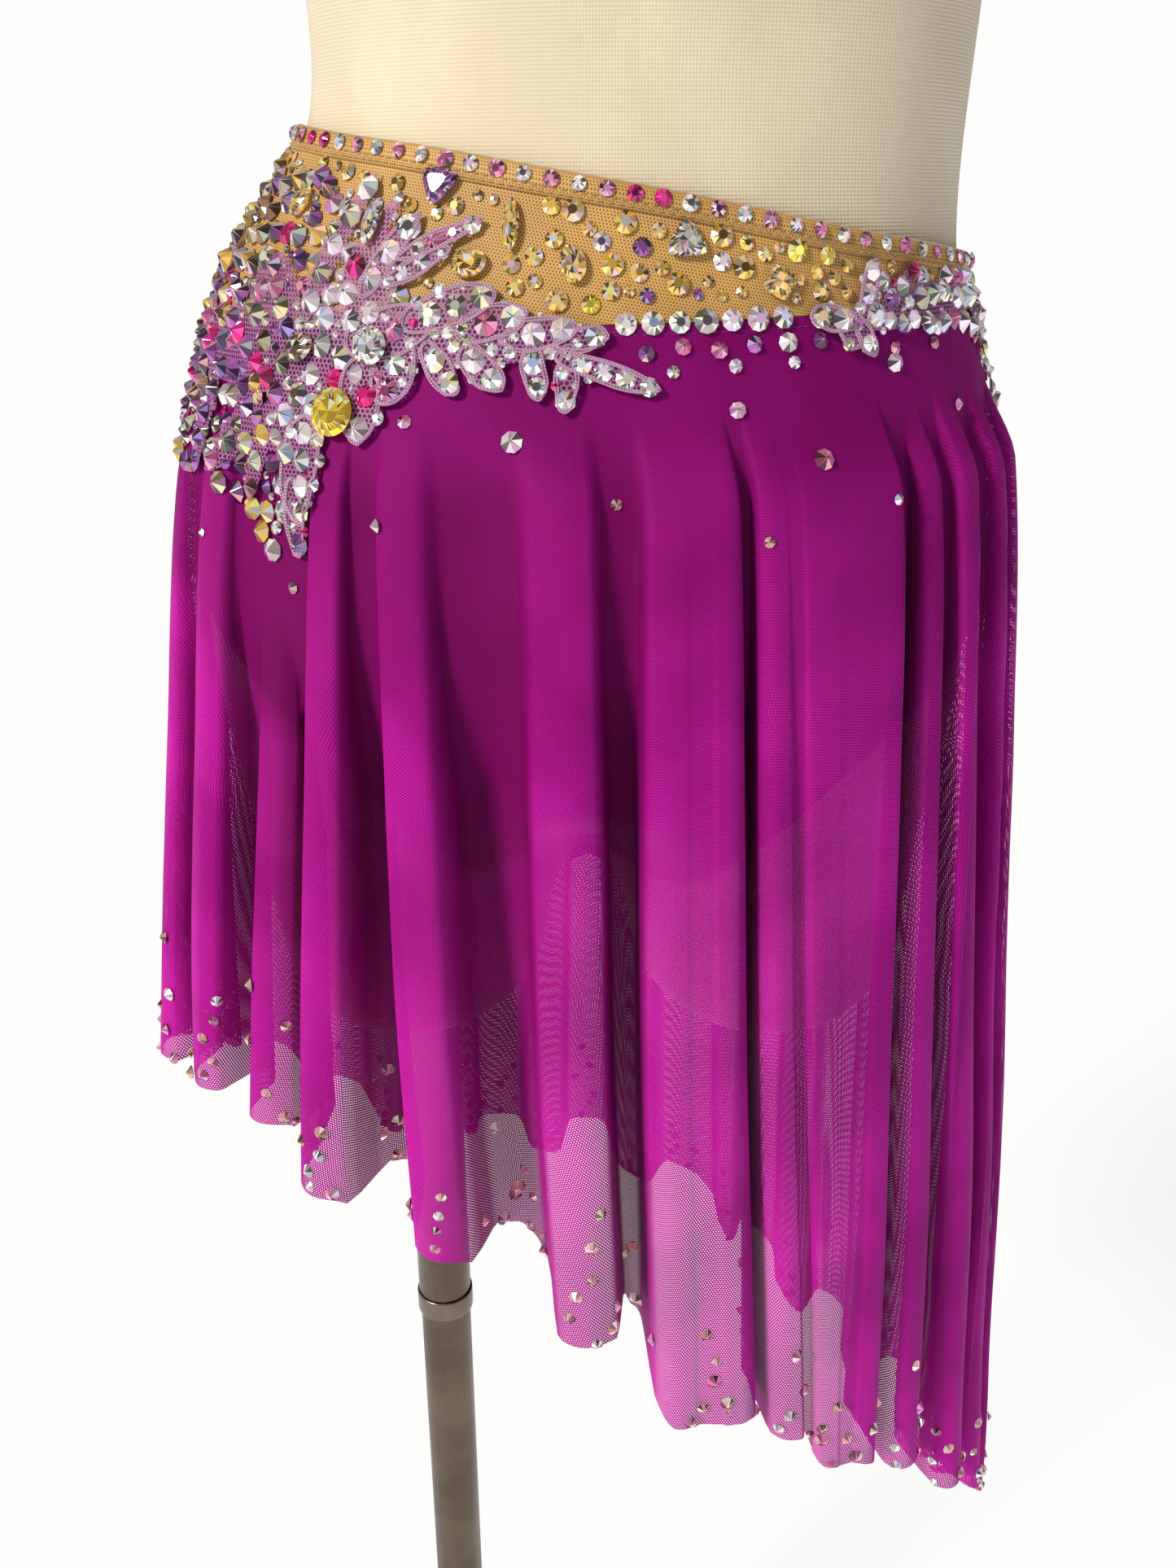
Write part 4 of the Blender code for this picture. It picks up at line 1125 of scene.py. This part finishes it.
rightOutlines, leftOutlines = ([leafOutline(root, tip, width) for _, root, tip, width in
                                leafRows(table)] for table in (rightHipLeaves, leftHipLeaves))
laceGround("laceRightHip", rightOutlines, "applique_right_hip", (0.30, 0.12))
laceGround("laceLeftHip", leftOutlines, "applique_left_hip", (0.22, 0.042))
laceCords("cordRightHip", rightHipLeaves, rightPatch)
laceCords("cordLeftHip", leftHipLeaves, leftPatch)
print("lace made")


# Crystals: each tint has a body colour, the coloured flashes that its facets catch, painted as
# reflections, how strong those are, and the share of its facets painted dark as shade
tints = {
    "ice": ((0.78, 0.73, 0.73), ((1.0, 0.78, 0.45), (0.55, 0.66, 1.0), (0.72, 1.0, 0.80),
                                 (1.0, 0.60, 0.84)), 0.7, 0.18),
    "clear": ((0.64, 0.60, 0.52), ((1.0, 0.66, 0.28), (0.55, 0.50, 1.0), (0.70, 1.0, 0.62),
                                   (0.98, 0.50, 0.78), (0.95, 0.90, 0.34)), 0.75, 0.30),
    "pale": ((0.80, 0.64, 0.72), ((1.0, 0.78, 0.6), (0.65, 0.62, 1.0), (0.9, 0.95, 0.9)), 0.5, 0.12),
    "gold": ((0.78, 0.46, 0.09), ((1.0, 0.85, 0.30), (0.62, 0.42, 0.55), (0.95, 0.62, 0.35),
                                  (0.55, 0.62, 0.75)), 0.6, 0.14),
    "fuchsia": ((0.62, 0.006, 0.16), ((1.0, 0.10, 0.4), (0.8, 0.03, 0.3)), 0.5, 0.20),
    "rose": ((0.52, 0.10, 0.24), ((0.95, 0.50, 0.55), (0.60, 0.32, 0.75), (0.95, 0.85, 0.88)),
             0.55, 0.16),
    "violet": ((0.30, 0.09, 0.34), ((0.95, 0.55, 0.35), (0.42, 0.38, 0.95), (0.70, 0.75, 0.8),
                                    (0.55, 0.10, 0.45)), 0.50, 0.42),
    "roseGold": ((0.66, 0.30, 0.28), ((1.0, 0.72, 0.6), (0.85, 0.40, 0.6), (1.0, 0.9, 0.85)),
                 0.6, 0.20),
    "bronze": ((0.30, 0.17, 0.09), ((0.95, 0.85, 0.55), (0.50, 0.30, 0.55), (0.8, 0.95, 0.75)),
               0.7, 0.34),
    "amber": ((0.86, 0.58, 0.04), ((1.0, 0.95, 0.35), (0.80, 0.48, 0.05), (1.0, 1.0, 0.75)),
              0.6, 0.12),
}
facets = {
    # Painted light and shade on the facets: the dark and lit brightnesses, and how often and how
    # strongly a painted flash shows
    "dark": 0.14, "lit": (0.55, 0.9, 1.3), "flashing": 0.55, "flash": (0.5, 1.6),
    "range": (0.01, 1.0), "tilt": 0.07,  # how far small stones lean at random
}
cuts = {  # rings from the foot up: size and height as shares of the diameter
    "round": {"sides": 10, "rings": ((0.47, 0.0), (0.5, 0.06), (0.21, 0.25))},
    "point": {"sides": 8, "rings": ((0.47, 0.0), (0.5, 0.06), (0.06, 0.40))},
    "small": {"sides": 8, "rings": ((0.48, 0.0), (0.5, 0.06), (0.15, 0.30))},
}


def ringFaces(sides, rings):
    # An upright band at the girdle, then triangles, each ring half a step round from the last.
    faces = []
    for r in range(rings - 1):
        for k in range(sides):
            a, b = r * sides + k, r * sides + (k + 1) % sides
            c, d = a + sides, b + sides
            faces += [[a, b, c], [b, d, c]] if r else [[a, b, d, c]]
    return faces


def cutStone(cut):
    sides, rings = cut["sides"], cut["rings"]
    points = []
    for r, (size, height) in enumerate(rings):
        turn = (np.arange(sides) + (0.5 * max(r - 1, 0))) / sides * math.tau
        points.append(np.stack([np.cos(turn) * size, np.sin(turn) * size,
                                np.full(sides, height)], -1))
    last = (len(rings) - 1) * sides
    return np.concatenate(points), ringFaces(sides, len(rings)) + [list(range(last, last + sides))]


def facetShades(random, tint, count):
    # One colour for each facet: a body colour painted darker or lighter as light and shade, and some
    # coloured flashes painted as reflections.
    body, flashes, strength, dark = tints[tint]
    body, flashes = np.array(body), np.array(flashes)
    light = (1 - dark) / len(facets["lit"])
    depth = random.choice([facets["dark"], *facets["lit"]], count, p=[dark, light, light, light])
    flash = flashes[random.integers(0, len(flashes), count)]
    mix = (random.random(count) < facets["flashing"]) * strength
    mix = mix * random.uniform(*facets["flash"], count)
    colour = body * (1 - mix[:, None]) + flash * mix[:, None]
    return np.clip(colour * depth[:, None], *facets["range"])


def paintFacets(mesh, shades):
    layer = mesh.color_attributes.new("facet", "FLOAT_COLOR", "CORNER")
    sizes = np.zeros(len(mesh.polygons), int)
    mesh.polygons.foreach_get("loop_total", sizes)
    corner = np.repeat(np.concatenate([shades, np.ones((len(shades), 1))], 1), sizes, 0)
    layer.data.foreach_set("color", corner.ravel())


stoneSeat = skirt["wall"] * 0.6  # over the inside of the skirt


class StoneTray:
    # Stones gathered for one joined mesh, with a colour for every facet.
    def __init__(self, name, cut, seed):
        self.name, self.cut = name, cuts[cut]
        self.random = np.random.default_rng(seed)
        self.rows = []

    def put(self, angle, drop, size, tint, lift):
        self.rows.append((angle, drop, size, tint, lift))

    def make(self):
        angle, drop, size, tint, lift = zip(*self.rows)
        angle, drop, size, lift = (np.array(c, float) for c in (angle, drop, size, lift))
        foot, out = standing(skirtPoint, angle, drop, stoneSeat + lift, 0.004)
        out = unit(out + self.random.normal(0, facets["tilt"], out.shape))
        one, two = crossWays(out, self.random.uniform(0, math.tau, len(foot))[:, None])
        unitPoints, unitFaces = cutStone(self.cut)
        x, y, z = np.moveaxis(unitPoints[None] * size[:, None, None], -1, 0)[..., None]
        points = foot[:, None] + x * one[:, None] + y * two[:, None] + z * out[:, None]
        count = len(unitPoints)
        faces = [[i + k * count for i in face] for k in range(len(foot)) for face in unitFaces]
        mesh = meshFrom(self.name, points, faces, smooth=False)
        paintFacets(mesh, np.concatenate([facetShades(self.random, name, len(unitFaces))
                                          for name in tint]))
        dress(self.name, mesh, "crystal", "crystal")
        print(self.name, len(self.rows))


# Large sew-on stones, in the places of their solids
sewnStones = {
    "name": ("triangle_top", "navette_yoke", "pear_low", "pear_middle", "triangle_middle",
             "square", "pear_gold", "navette_lace", "pear_lace", "round_lace", "drop_lace"),
    "angle": (-27.7, -14, -18.4, -3.8, 10.7, 24.7, -54.6, -35, -41.6, -29.5, -34),
    "drop": mm(-1, 11, 22.5, 23, 15.5, 28, 6, 12, 50, 48, 69),
    "length": mm(13.5, 15.5, 13, 13, 12.5, 11.8, 12.5, 14, 13.5, 11.5, 15),
    "width": mm(12.5, 8.2, 10.5, 9.8, 13.5, 10.8, 9, 7.6, 10.5, 11.5, 15),
    "turn": (20, 90, 10, 100, 90, 12, 60, 80, 25, 0, 0),
    "corners": (3, 2, 1, 1, 3, 4, 1, 2, 1, 12, 12),
    "tint": ("violet", "gold", "gold", "gold", "clear", "gold", "gold", "clear", "bronze",
             "ice", "amber"),
}
sewnForm = {
    "cut": {1: 0.27, 2: 0.34, 3: 0.34, 4: 0.22, 12: 0.0},  # how far in between its corners
    "sides": 24, "height": 0.0028, "larger": 1.07, "lift": 0.0004,
    "rings": ((0.90, 0.0, 0), (1.0, 0.35, 0), (0.80, 0.74, 1), (0.50, 1.0, 0)),
    "bodyRadius": 0.12,  # a wide stone stands off the round body
    "table": 3,  # sides of the ring that each facet of the table takes
    "bend": 1.6, "taken": 0.44,  # of its size, that no small stone may lie within
}


def sewnStone(name, angle, drop, length, width, turn, corners, tint, random):
    length, width = length * sewnForm["larger"], width * sewnForm["larger"]
    lift = skirt["wall"] + sewnForm["lift"]
    if name.endswith("_lace"):
        lift += lace["gap"] + lace["wall"]
    foot, out = standing(skirtPoint, angle, drop, lift, 0.01)
    one, two = crossWays(out, math.radians(turn))
    foot = foot + out * (max(length, width) ** 2 / 8 / sewnForm["bodyRadius"])
    sides, rings, third = sewnForm["sides"], sewnForm["rings"], sewnForm["table"]
    points = []
    for size, height, half in rings:
        way = (np.arange(sides) + half * 0.5) / sides * math.tau
        near = np.abs((way * corners / math.tau + 0.5) % 1 - 0.5) * 2
        reach = 1 - sewnForm["cut"][corners] * (1 - (1 - near) ** sewnForm["bend"])
        x, y = np.cos(way) * reach * length / 2 * size, np.sin(way) * reach * width / 2 * size
        points.append(foot + out * sewnForm["height"] * height + one * x[:, None] + two * y[:, None])
    points.append((foot + out * sewnForm["height"])[None])
    last, middle = (len(rings) - 1) * sides, sides * len(rings)
    corner = [(last + k, last + (k + third) % sides) for k in range(0, sides, third)]
    faces = (ringFaces(sides, len(rings)) + [[a, b, middle] for a, b in corner]
             + [[a, a + 1, a + 2, b] for a, b in corner] + [list(range(sides))[::-1]])
    mesh = meshFrom("sewn" + name, np.concatenate(points), faces, smooth=False)
    facedOut(mesh)
    paintFacets(mesh, facetShades(random, tint, len(mesh.polygons)))
    dress("sewn_" + name, mesh, "crystal", "crystal", "stone_" + name)


random = np.random.default_rng(5)
for row in zip(*sewnStones.values()):
    sewnStone(*row, random)
print("sewn stones made")


class Places:
    # Flat places and radii already covered, so that stones don't lie on each other.
    def __init__(self):
        self.spots = np.zeros((9000, 3))
        self.count = 0

    def take(self, flat, radius):
        self.spots[self.count] = flat[0], flat[1], radius
        self.count += 1

    def isFree(self, flat, radius, slack=0.0):
        spots = self.spots[:self.count]
        return not np.any(np.hypot(spots[:, 0] - flat[0], spots[:, 1] - flat[1])
                          < spots[:, 2] + radius - slack)


places = Places()
for flat, length, width in zip(onFlat(sewnStones["angle"], sewnStones["drop"]),
                               sewnStones["length"], sewnStones["width"]):
    places.take(flat, max(length, width) * sewnForm["taken"])


packing = {
    "small": 0.0038, "steepAngle": -30, "steep": (0.85, 0.5),  # the share of pointed stones
    "least": 0.0052, "most": 0.0082, "ofLeaf": 0.90, "inFromTip": 0.60, "slack": 0.0008,
    "vary": (0.92, 1.04), "step": (0.98, 1.08),
    "fill": ((0.0082, 0.0009), (0.0066, 0.0008), (0.0050, 0.0006), (0.0040, 0.0004),
             (0.0030, 0.0003)),  # sizes, and how far each may overlap
    "fillVary": (0.94, 1.04), "leafOnly": 0.006, "bareLift": 0.0004,
}
# Chances of each tint: more violet and bronze round the side, darker stones that are partly painted
# shade, gold high up there, and a few fuchsia stones
tintChances = {
    "front": {"ice": 0.50, "clear": 0.16, "pale": 0.16, "violet": 0.03, "rose": 0.07,
              "fuchsia": 0.08},
    "hip": {"clear": 0.20, "pale": 0.04, "violet": 0.32, "rose": 0.14, "fuchsia": 0.06,
            "bronze": 0.14, "gold": 0.10},
    "side": {"clear": 0.04, "violet": 0.48, "rose": 0.12, "fuchsia": 0.08, "bronze": 0.20,
             "gold": 0.08},
    "sideTop": {"clear": 0.12, "gold": 0.48, "bronze": 0.28, "violet": 0.12},
    "yoke": {"gold": 0.80, "amber": 0.10, "pale": 0.05, "violet": 0.05},
    "hipAngle": -44, "sideAngle": -60, "topDrop": 0.026,
}


def drawTint(random, where):
    return str(random.choice(list(tintChances[where]), p=list(tintChances[where].values())))


def laceTint(random, flat):
    angle = flat[0] / lace["metresPerDegree"]
    if angle < tintChances["sideAngle"]:
        return drawTint(random, "sideTop" if flat[1] < tintChances["topDrop"] else "side")
    return drawTint(random, "hip" if angle < tintChances["hipAngle"] else "front")


def laceStones(trays, table, outlines, patch, seed, darts):
    # A row of stones inside each leaf, then smaller ones in what is left.
    random = np.random.default_rng(seed)

    def put(flat, size, lift):
        angle = flat[0] / lace["metresPerDegree"]
        steep = packing["steep"][0 if angle < packing["steepAngle"] else 1]
        small = size < packing["small"]
        which = "small" if small else "point" if random.random() < steep else "round"
        trays[which].put(angle, flat[1], size, laceTint(random, flat), lift)
        places.take(flat, size / 2)

    for k, root, tip, width in leafRows(table):
        if k < table["stems"]:
            continue
        way = tip - root
        long = np.linalg.norm(way)
        size = min(packing["most"], max(packing["least"], width * packing["ofLeaf"]))
        at = long - size * packing["inFromTip"]
        while at > size * 0.5:
            flat = root + way / long * at
            if places.isFree(flat, size / 2, packing["slack"]):
                put(flat, size * random.uniform(*packing["vary"]), laceMiddle)
            at -= size * random.uniform(*packing["step"])
    corners = np.concatenate([*outlines, patch])
    for size, slack in packing["fill"]:
        flats = random.uniform(corners.min(0), corners.max(0), (darts, 2))
        leafy, block = insideAny(flats, outlines), insideOutline(flats, patch)
        leafy = leafy if size < packing["leafOnly"] else leafy & block
        for flat, lacy in zip(flats[leafy | block], leafy[leafy | block]):
            if places.isFree(flat, size / 2, slack):
                put(flat, size * random.uniform(*packing["fillVary"]),
                    laceMiddle if lacy else packing["bareLift"])


seamRows = (  # along the hip seam and at two distances under it
    {"tray": "round", "under": 0.0, "ends": (-3, 244), "pitch": 0.0086, "size": 0.0078,
     "vary": (0.9, 1.04), "stray": 0.0, "slack": 0.0012, "lift": 0.0006,
     "tints": ("ice", "ice", "pale", "ice")},
    {"tray": "point", "under": 0.0082, "ends": (2, 240), "pitch": 0.0118, "size": 0.0060,
     "vary": (0.85, 1.1), "stray": 0.001, "slack": 0.0, "lift": 0.0004,
     "tints": ("rose", "pale", "violet")},
    {"tray": "small", "under": 0.0142, "ends": (2, 240), "pitch": 0.0205, "size": 0.0044,
     "vary": (0.85, 1.1), "stray": 0.001, "slack": 0.0, "lift": 0.0004,
     "tints": ("pale", "clear", "rose")},
)
bindingRow = {
    "share": 0.36, "ends": (-180, 180), "pitch": 0.0088, "size": 0.0052, "vary": (0.88, 1.1),
    "tints": ("rose", "ice"), "usual": 0.85, "lift": 0.0003,
}


def alongLine(line, row):
    # Angles at an even pitch along a line round the body.
    angles = np.linspace(*row["ends"], 2000)
    run = runLengths(skirtPoint(angles, line(angles)))
    return np.interp(np.arange(0, run[-1], row["pitch"]), run, angles)


def crystalRows(trays):
    random = np.random.default_rng(11)
    for row in seamRows:
        line = lineAt(seamLine, row["under"])
        for angle in alongLine(line, row):
            stray = random.uniform(-row["stray"], row["stray"]) if row["stray"] else 0.0
            flat = onFlat(turnInRange(angle), line(angle) + stray)
            if places.isFree(flat, row["size"] / 2, row["slack"]):
                trays[row["tray"]].put(angle, flat[1], row["size"] * random.uniform(*row["vary"]),
                                       random.choice(row["tints"]), row["lift"])
                places.take(flat, row["size"] / 2)
    row = bindingRow
    line = lineAt(topEdge, yoke["bindingHeight"] * row["share"])
    for k, angle in enumerate(alongLine(line, row)):
        trays["round"].put(angle, float(line(angle)), row["size"] * random.uniform(*row["vary"]),
                           row["tints"][k % 2] if random.random() < row["usual"] else "fuchsia",
                           yoke["bindingWall"] - stoneSeat + row["lift"])
        places.take(onFlat(turnInRange(angle), line(angle)), row["size"] / 2)


yokeScatter = {
    "darts": 26000, "underTop": 0.002, "overSeam": 0.0055,
    "sizes": mm(7.4, 6.0, 4.9, 3.7), "chances": (0.28, 0.40, 0.22, 0.10), "small": 0.0045,
    "sideAngle": -50, "room": 0.0008, "sideRoom": 0.0004, "lift": 0.0003,
}


def yokeStones(trays, outlines):
    random = np.random.default_rng(23)
    angles = random.uniform(-180, 180, yokeScatter["darts"])
    top = roundLine(topEdge, angles) + yoke["bindingHeight"] + yokeScatter["underTop"]
    bottom = roundLine(seamLine, angles) - yokeScatter["overSeam"]
    drops = top + (bottom - top) * random.random(len(angles))
    clear = (bottom > top) & ~insideAny(onFlat(angles, drops), outlines)
    for angle, drop in zip(angles[clear], drops[clear]):
        flat = onFlat(angle, drop)
        size = random.choice(yokeScatter["sizes"], p=yokeScatter["chances"])
        room = yokeScatter["room" if angle > yokeScatter["sideAngle"] else "sideRoom"]
        if places.isFree(flat, size / 2 + room):
            tray = trays["small" if size < yokeScatter["small"] else "round"]
            tray.put(angle, drop, size, drawTint(random, "yoke"), yokeScatter["lift"])
            places.take(flat, size / 2)


singles = {  # single stones on the mesh
    "angle": (-24, -10, -26, 2, 18, 28, 20, 38, 44, 58, 72, -40, -58, 80, 94, 120, 140, 165, 200,
              225, 250, 132, 182),
    "drop": mm(70, 75, 102, 94, 66, 82, 106, 96, 54, 70, 50, 128, 114, 98, 112, 80, 115, 90,
               110, 85, 120, 150, 140),
    "size": mm(4.8, 7.4, 5.2, 4, 5.6, 7.4, 3.8, 4, 6.6, 4.4, 4.4, 4.4, 3.6, 4.4, 4.4, 5, 4.2,
               6.2, 4.6, 5, 4.4, 4, 4.6),
}
hemStones = {
    "rows": ((0.004, 96), (0.012, 88), (0.021, 72), (0.031, 48), (0.042, 28), (0.056, 16)),
    "strayAngle": 1.6, "strayDrop": 0.003, "size": (0.0042, 0.0060), "lift": 0.0002,
}


def scatter(tray):
    random = np.random.default_rng(31)
    lift, stray = hemStones["lift"], hemStones["strayDrop"]
    for angle, drop, size in zip(*singles.values()):
        tray.put(angle, drop, size, random.choice(["roseGold", "pale", "rose", "ice"]), lift)
    for over, count in hemStones["rows"]:
        for angle in np.linspace(-180, 180, count, endpoint=False):
            angle += random.uniform(-hemStones["strayAngle"], hemStones["strayAngle"])
            drop = float(roundLine(hemLine, angle)) - over - random.uniform(-stray, stray)
            tray.put(angle, drop, random.uniform(*hemStones["size"]),
                     random.choice(["roseGold", "roseGold", "pale", "rose"]), lift)


trays = {
    "round": StoneTray("crystalsRound", "round", 3),
    "point": StoneTray("crystalsPointed", "point", 4),
    "small": StoneTray("crystalsSmall", "small", 6),
}
laceStones(trays, rightHipLeaves, rightOutlines, rightPatch, 41, 6000)
laceStones(trays, leftHipLeaves, leftOutlines, leftPatch, 43, 2500)
crystalRows(trays)
yokeStones(trays, rightOutlines + leftOutlines)
scatter(trays["point"])
for tray in trays.values():
    tray.make()


# The room: a pale floor, a soft sky that shows white behind, and a broad lamp to the left
room = {
    "size": 9, "floor": rgba(0.22, 0.22, 0.22), "glow": 0.80,
    "sky": 0.25, "white": 1.0, "skyTint": rgba(1.0, 0.99, 0.975),
    "key": {"energy": 3.4, "angle": math.radians(12), "color": (1.0, 0.95, 0.89)},
    "keyWay": (0.80, 0.70, -0.66),
    "fill": {"size": 0.9, "energy": 2.2, "color": (0.66, 0.62, 1.0)},
    "fillWay": (-1.5, 1.0, -0.6), "fillPlace": (1.5, -1.0, 1.4),
}


def addLamp(name, kind, settings, way, place=(0, 0, 0)):
    lamp = bpy.data.lights.new(name, kind)
    for setting, value in settings.items():
        setattr(lamp, setting, value)
    light = link(name, lamp)
    light.location = place
    light.rotation_euler = Vector(way).to_track_quat("-Z", "Y").to_euler()


def makeRoom():
    look = Graph("paleFloor").finish({
        "Base Color": room["floor"], "Roughness": 0.9,
        "Emission Color": rgba(1, 1, 1), "Emission Strength": room["glow"]})
    a = room["size"]
    mesh = meshFrom("floor", [(-a, -a, 0), (a, -a, 0), (a, a, 0), (-a, a, 0)], [[0, 1, 2, 3]])
    mesh.materials.append(look)
    link("floor", mesh)
    world = bpy.data.worlds.new("softSky")
    bpy.context.scene.world = world
    world.use_nodes = True
    tree = world.node_tree
    sky = tree.nodes["Background"].inputs
    seen = tree.nodes.new("ShaderNodeLightPath")
    strength = tree.nodes.new("ShaderNodeMapRange")
    strength.inputs["To Min"].default_value = room["sky"]
    strength.inputs["To Max"].default_value = room["white"]
    tree.links.new(seen.outputs["Is Camera Ray"], strength.inputs["Value"])
    tree.links.new(strength.outputs[0], sky["Strength"])
    sky["Color"].default_value = room["skyTint"]
    addLamp("keyLamp", "SUN", room["key"], room["keyWay"])
    addLamp("fillLamp", "AREA", room["fill"], room["fillWay"], room["fillPlace"])


makeRoom()
print("done")
